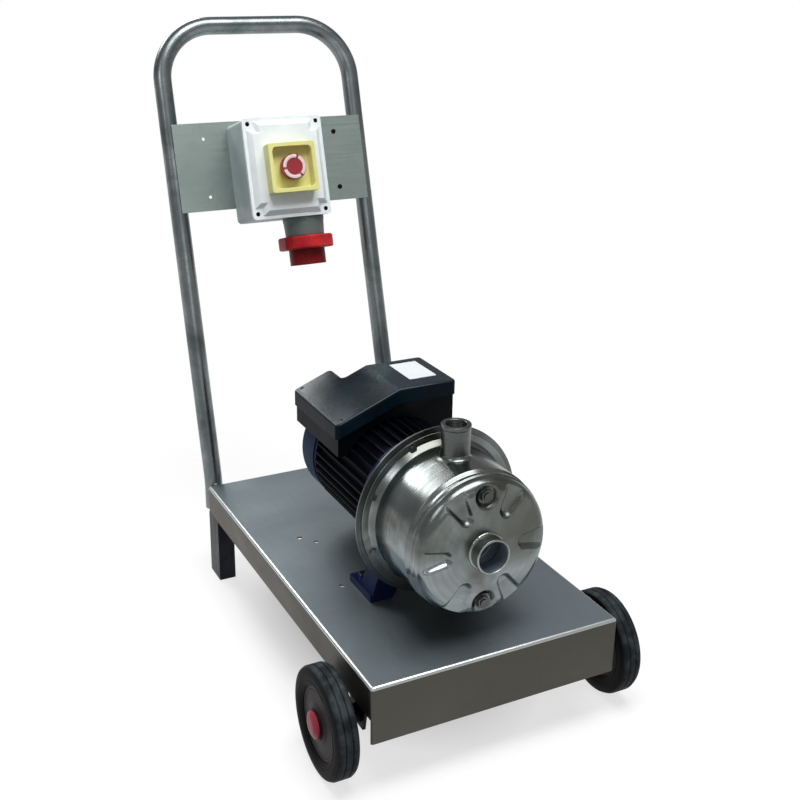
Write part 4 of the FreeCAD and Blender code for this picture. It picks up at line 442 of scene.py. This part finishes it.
def wound():
    """Enamelled copper wire in a bundle: strands about 3 mm apart, drawn thicker than the real
    0.8 mm."""
    material, tree, shader, place = begin("enamelled_copper_wire", Metallic=0.6)
    drawn = add(tree, "Mapping", {"Vector": place, "Scale": (60, 330, 60)}).outputs[0]
    strand = add(tree, "TexNoise", {"Vector": drawn, "Scale": 1.0, "Detail": 4.0}).outputs[0]
    share = between(tree, strand, 0.0, 1.0, 0.35, 0.65)
    join(tree, mixed(tree, share, "b5642f", "6e3316"), shader, "Base Color")
    join(tree, between(tree, strand, 0.28, 0.5), shader, "Roughness")
    bump = add(tree, "Bump", {"Height": strand, "Strength": 0.7, "Distance": 0.0006})
    join(tree, bump.outputs[0], shader, "Normal")
    return material


def make_finishes():
    """Every finish of the machine, by the name of what it is and how it was made.

    The numbers after the two colours are the roughness, and for moulded ones the grain per metre
    and its relief in metres."""
    lean = (math.radians(LEAN), 0, 0)
    terminal_at = (28, 295, 560)
    return {
        # ground sheet with painted shade on its sides and a painted highlight on its folds
        "tray": tray_sheet(),
        # ground stainless tube: the belt ran along it, so the light draws out into long streaks
        "tube": ground_metal("ground_stainless_tube", "8b9293", "5a6162", 0.29, (330, 330, 9),
                             lean, 9.0, 0.0001, 0.5),
        # folded stainless section, painted dark for the shade it stands in, and less polished
        "leg": ground_metal("drawn_stainless_section", "303237", "1e1f23", 0.44, (300, 300, 7)),
        # stainless plate, ground across: an even satin
        "plate": ground_metal("satin_stainless_plate", "9da9a5", "85928e", 0.42, (7, 300, 300),
                              lean, 10.0),
        # steel coloured nearly black, with a dull sheen
        "dark_steel": ground_metal("blackened_steel", "1a1b1d", "101113", 0.5, (200, 200, 200)),
        # bright turned steel
        "axle": turned_metal("turned_axle_steel", "b4b6b6", "8b8d8e", 0.28, AXLE_AT, 0),
        # stainless sheet pressed in a die: bright, with faint rings from the draw
        "casing": turned_metal("pressed_stainless", "8c9496", "585a55", 0.21, PUMP_AT,
                               relief=0.00005),
        # stainless blasted with glass beads: matt all over
        "blasted": moulded("bead_blasted_stainless", "c3ccd4", "aab4bd", 0.62, 700.0, 0.00008,
                           Metallic=1.0),
        # thread cut with a tap: matt, and painted darker for the shade inside the bore
        "thread": moulded("tapped_stainless_thread", "77828b", "5f6a73", 0.6, 700.0, 0.00006,
                          Metallic=1.0),
        # stainless faced bright on a lathe
        "faced": turned_metal("faced_stainless", "aeb4b4", "868a88", 0.24, PUMP_AT,
                              relief=0.00004),
        # stainless turned on a lathe: darker, with fine rings
        "nozzle": turned_metal("turned_stainless", "6f7576", "4c4e4b", 0.27, PUMP_AT,
                               relief=0.00005),
        # stainless screws, rolled: small bright flanks
        "fastener": turned_metal("rolled_stainless_fastener", "85898b", "57595a", 0.26, PUMP_AT),
        # hardened and ground steel: the brightest metal
        "bearing": turned_metal("hardened_bearing_steel", "bcbfc2", "94979a", 0.16, PUMP_AT),
        # weld seam: silver with straw and grey heat tint
        "weld": ground_metal("tig_weld_seam", "a3a5a1", "6b675a", 0.26, (200, 200, 200)),
        # navy enamel over sand-cast iron: grainy under the gloss
        "casting": enamelled("navy_enamel_on_casting", "0e2554", "07122c", 0.36, 0.35),
        # navy enamel over pressed sheet: smoother
        "cover": enamelled("navy_enamel_on_sheet", "15355f", "0c2040", 0.5),
        # the same enamel, painted nearly black between the fins for the shade there
        "fins": enamelled("navy_enamel_on_fins", "030712", "010309", 0.5, 0.2),
        # dark blue-grey ABS with a fine spark-eroded grain
        "lid_black": lid_plastic(),
        # nylon, dull and nearly black
        "black": moulded("moulded_black_nylon", "05080d", "030509", 0.5, Specular_IOR_Level=0.08),
        # aluminium plate stoved with white lacquer and left bare
        "blank": moulded("lacquered_aluminium_plate", "e9eff1", "d8dfe2", 0.3, 1000.0, 0.00002),
        # pale grey ABS with a matt grain, painted darker than the lid for the shade on the box's
        # sides
        "box": moulded("grained_grey_abs_painted_shade", "c2ced0", "acb9bc", 0.5, 700.0, 0.00008),
        # the same ABS without the base's painted shade, and a little smoother
        "box_lid": moulded("grained_pale_abs", "eef4f6", "dde6e9", 0.46, 700.0, 0.00006),
        # soft silicone cord: white and matt
        "gasket": moulded("extruded_white_silicone", "eef1f0", "dde1df", 0.6, 1100.0),
        # yellow ABS with a soft gloss
        "shroud": moulded("moulded_yellow_abs", "ebe79c", "dedb88", 0.34, 900.0, 0.00004),
        # red nylon, smooth from pressing hands
        "button": moulded("moulded_red_nylon", "a8343a", "82242b", 0.3, 900.0, 0.00003),
        # white plastic let into the red head
        "mark": moulded("white_inlay", "ecd9d9", "dcc6c6", 0.45, 900.0, 0.00002),
        # mid-grey nylon, slightly matt
        "inlet": moulded("moulded_grey_nylon", "66736f", "535f5d", 0.4, 700.0),
        # bright red polyamide
        "inlet_red": moulded("moulded_red_polyamide", "d43438", "92151d", 0.38, 800.0, 0.00005,
                             Specular_IOR_Level=0.15),
        # the sleeve's red, painted deeper for the shade under the inlet
        "inlet_red_shaded": moulded("moulded_red_polyamide_painted_shade", "8a1b20", "5a0e13", 0.4, 800.0,
                              0.00005, Specular_IOR_Level=0.12),
        # red cap, worn to a soft gloss
        "cap": moulded("red_cap_plastic", "b03a4c", "7c2434", 0.36, 900.0, 0.00004,
                       Specular_IOR_Level=0.16),
        # solid rubber tyre, its tread grey with dust and a painted sheen
        "tyre": rolled_rubber(),
        # glass-filled nylon: brownish black and dull
        "hub": moulded("glass_filled_nylon_hub", "191316", "241a1e", 0.45, 800.0, 0.00008,
                       Specular_IOR_Level=0.1),
        # rubber ring, matt black
        "seal": moulded("moulded_nitrile_rubber", "131415", "1b1c1d", 0.6),
        # fired ceramic: cream and smooth
        "ceramic": moulded("fired_alumina_ceramic", "e8e2d6", "dad3c5", 0.22, 1200.0, 0.00001),
        # pressed carbon: dark grey with a soft shine
        "carbon": moulded("pressed_carbon_graphite", "26282b", "33363a", 0.36, 1200.0, 0.00003),
        # turned brass pins
        "brass": turned_metal("turned_brass", "c9a25a", "a6803d", 0.25, terminal_at),
        # stacked sheets of the stator and the rotor
        "core": laminated(),
        # copper windings
        "winding": wound(),
    }


# ---------------------------------------------------------------- making meshes
def settle(name, mesh, node_names, finish, smooth=38.0, body=None):
    """Puts a finished mesh on its body. It stands for the named nodes and rides as the first one
    does; where a body is given, it replaces nothing and rides beside them."""
    mesh.materials.clear()
    mesh.materials.append(FINISH[finish])
    mesh.shade_smooth()
    mesh.set_sharp_from_angle(angle=math.radians(smooth))
    piece = bpy.data.objects.new(name, mesh)
    bpy.context.scene.collection.objects.link(piece)
    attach(piece, body or NODES[node_names[0]]["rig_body"])
    if body is None:
        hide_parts(*node_names)
    return piece


def surface(name, points, place, looped=True):
    """Mesh of a grid of points (rows, columns, 3) in millimetres, taken to its place in metres.

    Each four neighbours make one face. The last column joins the first, and where the grid is
    looped the last row joins the first too."""
    rows, columns = points.shape[:2]
    index = np.arange(rows * columns).reshape(rows, columns)
    index = np.concatenate([index, index[:, :1]], 1)
    if looped:
        index = np.concatenate([index, index[:1]], 0)
    corners = [index[:-1, :-1], index[:-1, 1:], index[1:, 1:], index[1:, :-1]]
    faces = np.stack(corners, -1).reshape(-1, 4)
    spots = points.reshape(-1, 3) @ place[:3, :3].T + place[:3, 3]
    mesh = bpy.data.meshes.new(name)
    mesh.from_pydata((spots * MM).tolist(), [], faces.tolist())
    work = bmesh.new()
    work.from_mesh(mesh)
    bmesh.ops.remove_doubles(work, verts=work.verts, dist=2e-6)
    bmesh.ops.recalc_face_normals(work, faces=work.faces)
    work.to_mesh(mesh)
    work.free()
    return mesh


def form(name, points, place, node_names, finish, smooth=50, body=None, looped=True):
    """Makes a piece from a grid of points and settles it."""
    settle(name, surface(name, points, place, looped), node_names, finish, smooth, body)


def arcs(spots, sizes, closed=False, steps=6):
    """Path through corners in two or three dimensions. A corner with a size becomes an arc of that
    radius that touches both its sides, its points turned evenly from the first touch to the
    second."""
    points = []
    for at, size in enumerate(sizes):
        here = spots[at]
        if size == 0 or (not closed and at in (0, len(sizes) - 1)):
            points.append(here[None])
            continue
        before, after = spots[at - 1] - here, spots[(at + 1) % len(sizes)] - here
        before, after = before / np.linalg.norm(before), after / np.linalg.norm(after)
        half = math.acos(np.clip(before @ after, -1, 1)) / 2
        middle = here + (before + after) / np.linalg.norm(before + after) * size / math.sin(half)
        first = here + before * size / math.tan(half) - middle
        last = here + after * size / math.tan(half) - middle
        swing = math.pi - 2 * half
        share = np.linspace(0, 1, steps + 1)[:, None]
        turned = np.sin((1 - share) * swing) * first + np.sin(share * swing) * last
        points.append(middle + turned / math.sin(swing))
    return np.concatenate(points)


def rounded(corners, closed=False, steps=6):
    """Outline through corners given as (radius, along, rounding)."""
    table = np.array(corners, float)
    return arcs(table[:, :2], table[:, 2], closed, steps)


def divided(outline, longest):
    """Outline with extra points, so that no run between two is longer than longest."""
    runs = np.linalg.norm(np.diff(outline, axis=0), axis=1)
    counts = np.maximum(1, np.ceil(runs / longest)).astype(int)
    pieces = [np.linspace(outline[at], outline[at + 1], count, endpoint=False)
              for at, count in enumerate(counts)]
    return np.concatenate(pieces + [outline[-1:]])


def spun(outline, columns):
    """Grid of an outline (radius, along) turned about the local Y axis: x = r cos a, y = along,
    z = r sin a."""
    angle = np.arange(columns) / columns * 2 * math.pi
    radius, along = outline[:, :1], outline[:, 1:2]
    return np.stack([radius * np.cos(angle), np.broadcast_to(along, (len(outline), columns)),
                     radius * np.sin(angle)], -1)


def folded_round(grid, sectors):
    """Radius of each grid point off the local Y axis, and the angle about it from the middle of the
    nearest of equal sectors."""
    radius = np.hypot(grid[..., 0], grid[..., 2])
    angle = np.arctan2(grid[..., 2], grid[..., 0])
    half = math.pi / sectors
    return radius, np.abs((angle + half) % (2 * half) - half)


def dressed(node, width, finish, angle=30.0):
    """Copy of a frame node, its triangles merged into flat faces and its edges rounded by width
    millimetres where they turn by more than angle degrees."""
    work = bmesh.new()
    work.from_mesh(NODES[node].data)
    bmesh.ops.remove_doubles(work, verts=work.verts, dist=2e-6)
    bmesh.ops.dissolve_limit(work, angle_limit=math.radians(0.4), verts=work.verts,
                             edges=work.edges)
    mesh = bpy.data.meshes.new(node + "_dressed")
    work.to_mesh(mesh)
    work.free()
    piece = settle(node + "_dressed", mesh, [node], finish)
    bevel = piece.modifiers.new("edges", "BEVEL")
    bevel.width, bevel.segments = width * MM, 2
    bevel.limit_method, bevel.angle_limit = "ANGLE", math.radians(angle)
    bevel.harden_normals = True
    return piece


def dress_tray():
    """Copy of the folded tray: its upper outer edges are rounded by 4 mm, as folded sheet is, and
    then every sharp edge by 0.5 mm. An upper outer edge has both its ends in the top sheet and on
    one side of its box."""
    piece = dressed("tray", 0.5, "tray", angle=60.0)
    mesh = piece.data
    spots, ends = np.zeros(len(mesh.vertices) * 3), np.zeros(len(mesh.edges) * 2, int)
    mesh.vertices.foreach_get("co", spots)
    mesh.edges.foreach_get("vertices", ends)
    spots = spots.reshape(-1, 3)[ends].reshape(-1, 2, 3)
    low, high = np.array(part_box("tray"))
    near = 0.05 * MM
    on_box = (np.abs(spots - low) < near) | (np.abs(spots - high) < near)
    at_side = on_box[..., :2].all(1).any(1)
    at_top = (np.abs(spots[..., 2] - high[2]) < near).all(1)
    weight = (at_side & at_top).astype(float)
    weights = mesh.attributes.new("bevel_weight_edge", "FLOAT", "EDGE")
    weights.data.foreach_set("value", weight)
    folds = piece.modifiers.new("folds", "BEVEL")
    folds.width, folds.segments = 4.0 * MM, 4
    folds.limit_method, folds.use_clamp_overlap = "WEIGHT", False
    piece.modifiers.move(1, 0)


def eased(value):
    """Smooth step: 3v^2 - 2v^3 of a value held between nought and one."""
    held = np.clip(value, 0, 1)
    return held * held * (3 - 2 * held)


# ---------------------------------------------------------------- the pump's round forms
def make_casing():
    """Pressed casing: its outline turned about the shaft, with the face sunk to one level inside
    six petals and two plug seats. How far a point sinks follows its distance inside the petal's
    edge, which is a round nose of 9 mm that widens in straight lines to 19.3 mm each side at the
    rim, over a wall 9.2 mm wide at the nose and 7.5 mm at the sides. A low swell of 0.15 mm runs
    round each edge."""
    nose_at, nose, rim_half, petal_long = 64, 9, 19.3, 54
    wall_side, wall_more, wall_change = 7.5, 1.7, 12
    seat_at, seat_round, seat_wall = 82, 16, 9
    sunk_level, swell, swell_out = -133.0, 0.15, 96
    skin = rounded([(125, 0, 0), (125, -3, 0.8), (114.6, -3, 1.2), (108.2, -12.2, 2.5),
                    (DRUM_RADIUS, -18, 0), (DRUM_RADIUS, -52, 0), (DRUM_RADIUS, -103.5, 3),
                    (103.2, -108.5, 1.5), (103.2, -111.5, 0.8), (105.5, -113.4, 0.9),
                    (105.5, -117, 0.9), (103.6, -119.2, 1), (103.5, -120, 0)])
    rim = rounded([(103.5, -120, 0), (103.5, -140, 20), (83.4, -140, 0)], steps=26)
    face = divided(np.array([(83.4, -140), (32, -142), (26, -142)]), 0.85)
    inside = np.array([(26, -131), (94, -131), (101, -122), (101, -106), (105.2, -103),
                       (105.2, 0)])
    skin = np.concatenate([skin[:-1], rim, face[1:], inside, [(125, 0)]])
    grid = spun(skin, 432)
    radius, folded = folded_round(grid, 6)
    outer = np.arange(len(skin))[:, None] < len(skin) - len(inside) - 1
    along, aside = radius * np.cos(folded) - nose_at, radius * np.sin(folded)
    widen = (rim_half - nose) / petal_long
    keep = math.sqrt(1 - widen * widen)
    reach = aside * widen + along * keep
    to_side = along * -widen + aside * keep - nose
    to_nose = np.hypot(along, aside) - nose
    apart = np.where(reach < 0, to_nose, to_side)
    upper = np.hypot(grid[..., 0], grid[..., 2] - seat_at)
    lower = np.hypot(grid[..., 0], grid[..., 2] + seat_at)
    seat = np.minimum(upper, lower) - seat_round
    wall = wall_side + wall_more * eased(0.5 - reach / wall_change)
    sunk = np.maximum(eased(0.5 - apart / wall), eased(0.5 - seat / seat_wall))
    above = outer & (grid[..., 1] < sunk_level)
    grid[..., 1] += np.where(above, (sunk_level - grid[..., 1]) * sunk, 0)
    lift = (eased(1 - np.abs(apart - 4.8) / 3.0) * swell
            + eased(1 - np.abs(seat - 5.2) / 2.6) * swell)
    swollen = outer & (grid[..., 1] < sunk_level - 2) & (radius < swell_out)
    grid[..., 1] -= np.where(swollen, lift, 0)
    form("casing_pressing", grid, PUMP, ["pump_casing"], "casing")


def threaded(radius, start, end, pitch, depth, columns=128):
    """Bore with a screw thread: the radius swings by half the depth with cos(turn + along/pitch),
    over eight rows to a turn."""
    rows = int(abs(end - start) / pitch * 8)
    along = np.linspace(start, end, rows)[:, None]
    angle = np.arange(columns)[None] / columns * 2 * math.pi
    wave = radius - depth / 2 * np.cos(angle + along / pitch * 2 * math.pi)
    return np.stack([wave * np.cos(angle), np.broadcast_to(along, (rows, columns)),
                     wave * np.sin(angle)], -1)


def bead(path, outward, upward, width, ripples):
    """Weld seam: a rounded section carried along a closed path, swelling by a thirtieth at each
    ripple."""
    around = np.arange(12) / 12 * 2 * math.pi
    wave = np.sin(np.arange(len(path)) / len(path) * ripples * 2 * math.pi)
    swell = width * (1 + 0.033 * wave)[:, None, None]
    ring = (outward[:, None] * np.cos(around)[None, :, None]
            + upward[:, None] * np.sin(around)[None, :, None])
    return path[:, None] + ring * swell


def make_ports():
    """Two screwed sockets: an outline turned about each one's axis, with a helical thread in the
    bore. The upper one stands in a collar drawn out of the casing: a hollow quarter circle laid on
    the round drum."""
    pitch, thread_depth, socket_back = 2.3, 0.5, -49
    mouth = rounded([(23.2, -161.2, 0), (23.8, -162, 0.3), (25.1, -162, 0.7), (26, -161.1, 0.5),
                     (26, -140, 0), (31, -140, 0), (31, -138, 0), (23.2, -138, 0)])
    form("suction_socket", spun(mouth, 128), PUMP, ["suction_nozzle"], "faced")
    back = np.array([(23.3, -161.2), (23.3, -138), (22.5, -138)])
    bore = threaded(22.8, -138.5, -161.2, pitch, thread_depth)
    grid = np.concatenate([bore, spun(back, 128)])
    form("suction_thread", grid, PUMP, [], "thread", 50, "trolley")
    top = rounded([(15.4, 155.2, 0), (16.2, 156, 0.4), (21.2, 156, 0.8), (22, 155, 0.8),
                   (22, 151, 0.8), (21, 149.6, 1.2), (21, 104.6, 0), (15.15, 104.6, 0)])
    bore = threaded(15.5, 106, 155.2, pitch, thread_depth)
    grid = np.concatenate([spun(top, 128), bore])
    upright = PUMP @ shift(0, socket_back, 0) @ turn("X", 90)
    form("discharge_socket", grid, upright, ["discharge_nozzle"], "nozzle")
    angle = np.arange(160) / 160 * 2 * math.pi
    outward = np.stack([np.cos(angle), np.zeros_like(angle), np.sin(angle)], -1)
    path = outward * 26.2 + np.array((0, -141.8, 0))
    front = np.broadcast_to(np.array((0.0, -1.0, 0.0)), outward.shape)
    seam = bead(path, outward, front, 2.6, 46)
    form("suction_weld", seam, PUMP, [], "weld", 60, "trolley")
    flare, foot = 6.6, 27.5
    arc = np.linspace(0, math.pi / 2, 9)[:, None]
    reach = np.concatenate([foot - flare * np.cos(arc), [[foot], [20.6]]])
    rise = np.concatenate([flare - flare * np.sin(arc), [[-1.5], [-1.5]]])
    across = reach * np.cos(angle)
    on_drum = np.sqrt(DRUM_RADIUS ** 2 - across ** 2)
    collar = np.stack([across, reach * np.sin(angle) + socket_back, on_drum + rise], -1)
    form("discharge_collar", collar, PUMP, [], "casing", 60, "trolley")


# ---------------------------------------------------------------- handle, wheels and axle ends
def make_handle():
    """Bent tube: a circle carried along straight runs and arcs, 16 mm in radius outside and 14 mm
    back inside. At each point the circle lies on the handle plane's normal, less its part along
    the run, and on the cross product of the two."""
    outside, inside, top_bend, heel_bend = 16, 14, 100, 120
    lean = math.radians(LEAN)
    up = np.array((0, math.sin(lean), math.cos(lean)))
    heel = np.array((HANDLE_HALF, *HEEL_AT[1:]))
    foot = heel - (0, 0, 50)
    corner = heel + up * HANDLE_LONG
    mirror = np.array((-1, 1, 1))
    stops = np.array([foot * mirror, heel * mirror, corner * mirror, corner, heel, foot])
    path = arcs(stops, [0, heel_bend, top_bend, top_bend, heel_bend, 0], steps=20)
    along = np.gradient(path, axis=0)
    along /= np.linalg.norm(along, axis=1, keepdims=True)
    along[0], along[-1] = (0, 0, 1), (0, 0, -1)
    normal = np.array((0, -math.cos(lean), math.sin(lean)))
    one = normal - (along @ normal)[:, None] * along
    one /= np.linalg.norm(one, axis=1, keepdims=True)
    two = np.cross(along, one)
    angle = np.arange(64) / 64 * 2 * math.pi
    ring = (one[:, None] * np.cos(angle)[None, :, None]
            + two[:, None] * np.sin(angle)[None, :, None])
    grid = np.concatenate([path[:, None] + ring * outside,
                           path[::-1, None] + ring[::-1] * inside])
    form("handle_bent_tube", grid, shift(0, 0, 0), ["handle_tube"], "tube")


def make_wheels():
    """Tyre outline with shoulders, two tread grooves and a sidewall bead, turned about the axle;
    so are the shallow dish that covers the hub's ribs and the domed cap on the axle's end."""
    inner_face, outer_face, axle_end = 215, 250, 254
    half = [(52, 4, 0.5), (57.5, 1.2, 1.5), (60, 0.6, 0.5), (61.4, 1.3, 0.5), (63, 0.4, 0.6),
            (69, 0.2, 3), (77.5, 2.0, 3), (80, 7, 2.5), (80, 11.2, 0.5), (77.6, 12.3, 0.4),
            (80, 13.4, 0.5)]
    tyre = [(radius, inner_face + along, size) for radius, along, size in half]
    tyre += [(radius, outer_face - along, size) for radius, along, size in reversed(half)]
    dish = rounded([(22.6, 243.1, 0), (22.6, 248.2, 0), (25.5, 247.6, 1.5), (31, 245.6, 8),
                    (44.5, 244.4, 3), (47.6, 245.3, 0.6), (47.6, 243.1, 0)])
    dome = rounded([(0, 257.5, 0), (12, 257.2, 16), (20, 253.4, 2.4), (20, 250.5, 0.3),
                    (AXLE_ROUND / 2, 250.5, 0), (AXLE_ROUND / 2, axle_end, 0), (0, axle_end, 0)],
                   steps=10)
    for side, place in (("right", AXLE), ("left", AXLE_LEFT)):
        grid = spun(rounded(tyre, closed=True, steps=5), 144)
        form(f"tyre_{side}", grid, place, [f"wheel_{side}_tyre"], "tyre")
        dressed(f"wheel_{side}_hub", 0.8, "hub")
        form(f"hub_dish_{side}", spun(dish, 128), place, [], "hub", 40, f"wheel_{side}")
        cap = spun(dome, 96)
        if side == "right":
            form("axle_cap_right", cap, place, ["axle_caps"], "cap", 40)
        else:
            form("axle_cap_left", cap, place, [], "cap", 40, "trolley")


# ---------------------------------------------------------------- the stop and the power inlet
def make_stop_head():
    """Mushroom head: its outline turned about the stop's axis, with a dished front and a ribbed
    waist. Three marks lie on it: a low section carried along an arc of 107 degrees, with its ends
    closed at the section's middle."""
    outline = rounded([(6.05, 0, 0), (19.6, 0, 0.8), (21.8, -2, 1.2), (20.9, -9, 2.5),
                       (22.9, -11.8, 1.0), (22.9, -15.2, 1.6), (21.4, -17.3, 1.2),
                       (15.2, -17.6, 0.6), (14.4, -17.2, 0.6), (0, -17.3, 0), (0, -8.5, 0),
                       (6.05, -8.5, 0)])
    form("stop_mushroom", spun(outline, 128), STOP, ["stop_button"], "button", 45)
    radius = np.array((15.4, 15.4, 15.8, 20.6, 21.2, 21.2))
    lift = np.array((-17.0, -17.8, -18.0, -17.75, -17.5, -16.6))
    for number, first in enumerate((74, 194, 314)):
        swing = np.radians(first + np.linspace(0, 1, 33) * 107)[:, None]
        grid = np.stack([radius * np.cos(swing), lift + 0 * swing, radius * np.sin(swing)], -1)
        ends = np.broadcast_to(grid[[0, -1]].mean(1, keepdims=True), (2, 6, 3))
        grid = np.concatenate([ends[:1], grid, ends[1:]])
        form(f"turn_mark_{number}", grid, STOP, [], "mark", 40, "stop_head",
             looped=False)


def make_inlet():
    """Power inlet: a grey body, a locking ring with six flats, and a red sleeve, turned about the
    inlet's axis. On a flat the radius is 3 mm less, over the cosine of the angle from the flat's
    middle, where that is the smaller one."""
    flat_depth, flat_from = 3.0, 40
    body = rounded([(0, 7, 0), (20, 7, 0), (20, 0, 0), (37, 0, 0.6), (38, -1.2, 1.0),
                    (37.4, -8, 0.6), (36.9, -9, 0.6), (35.5, -33.8, 0.8), (29, -34, 0),
                    (29, -46, 0), (0, -46, 0)])
    form("inlet_shell", spun(body, 128), INLET, ["inlet_body"], "inlet", 45, looped=False)
    ring = rounded([(33.1, -34.5, 0.4), (47.5, -34.5, 1.5), (50, -37, 1.5), (50, -56, 1.5),
                    (47.5, -58.5, 1.5), (33.1, -58.5, 0.4)], closed=True, steps=8)
    grid = spun(ring, 360)
    radius, folded = folded_round(grid, 6)
    outer = radius > flat_from
    flat = (radius - flat_depth * outer) / np.cos(folded)
    scale = (np.minimum(radius, flat) / radius)[..., None]
    grid = np.where(np.array((True, False, True)) & outer[..., None], grid * scale, grid)
    form("inlet_grip_ring", grid, INLET, ["inlet_ring"], "inlet_red", 14)
    sleeve = rounded([(29, -34, 0), (33, -34, 0), (33, -80, 0.5), (32.4, -81, 0.5),
                      (33, -82, 0.5), (33, -87, 1.2), (29, -87, 0.8)], closed=True)
    form("inlet_red_sleeve", spun(sleeve, 128), INLET, ["inlet_sleeve"], "inlet_red_shaded", 45)


def make_plate_plugs():
    """Two dark push-in plugs in the right-hand holes of the plate: a low dome turned about each
    hole's axis."""
    hole_across, hole_front = 128, -19
    dome = rounded([(2.3, 8, 0), (2.3, 0, 0), (4.6, 0, 0.3), (4.4, -1.4, 0.8), (2.6, -2.2, 1.5),
                    (0, -2.3, 0)], steps=5)
    dome = np.concatenate([dome, [(0, 8)]])
    for number, height in enumerate((515, 620)):
        place = HANDLE @ shift(hole_across, hole_front, height)
        form(f"plate_plug_{number}", spun(dome, 48), place, [], "black", 40, "trolley")


# ---------------------------------------------------------------- finishes of the frame's nodes
PLAIN = {
    "casing_o_ring": "seal", "seal_seat_ring": "ceramic", "seal_rotating_ring": "carbon",
    "motor_shaft": "axle", "first_impeller": "blasted", "second_impeller": "blasted",
    "impeller_nut": "blasted", "first_stage_bowl": "blasted", "second_stage_bowl": "blasted",
    "stator_core": "core", "stator_windings": "winding", "rotor_core": "core",
    "bearing_outer_rings": "bearing", "bearing_inner_rings": "bearing",
    "bearing_balls": "bearing", "rear_shield": "casting", "cooling_fan": "black",
    "start_capacitor": "black", "terminal_block": "ceramic", "control_box_bolts": "fastener",
    "stop_contact_block": "black", "stop_stem": "black", "inlet_pins": "brass",
    "leg_end_plugs": "black", "motor_housing": "fins",
}
# how far each node's edges are rounded, in millimetres, and its finish
ROUNDED = {
    "rear_leg_left": (1.2, "leg"), "rear_leg_right": (1.2, "leg"), "cross_plate": (0.5, "plate"),
    "axle": (0.6, "dark_steel"), "axle_brackets": (0.6, "dark_steel"),
    "casing_plugs": (1.2, "nozzle"), "flange_bolts": (0.6, "fastener"),
    "seal_disc": (0.5, "nozzle"), "motor_adapter": (1.4, "casting"),
    "foot_bolts": (0.7, "fastener"), "fan_cover": (0.4, "cover"),
    "terminal_box_base": (1.2, "black"), "terminal_box_lid": (1.8, "lid_black"),
    "terminal_lid_screws": (0.3, "fastener"), "blank_rating_plate": (0.15, "blank"),
    "terminal_gland": (0.8, "black"), "control_box_base": (1.0, "box"),
    "control_box_gasket": (0.3, "gasket"), "control_box_lid": (1.2, "box_lid"),
    "control_lid_screws": (0.4, "black"), "stop_shroud": (1.2, "shroud"),
}

aim_camera()
light_studio()
lay_floor()
FINISH = make_finishes()
for node, finish in PLAIN.items():
    data = NODES[node].data
    data.materials.clear()
    data.materials.append(FINISH[finish])
for node, (width, finish) in ROUNDED.items():
    dressed(node, width, finish)
dress_tray()
make_casing()
make_ports()
make_handle()
make_wheels()
make_stop_head()
make_inlet()
make_plate_plugs()

bpy.context.scene.view_settings.view_transform = "Standard"
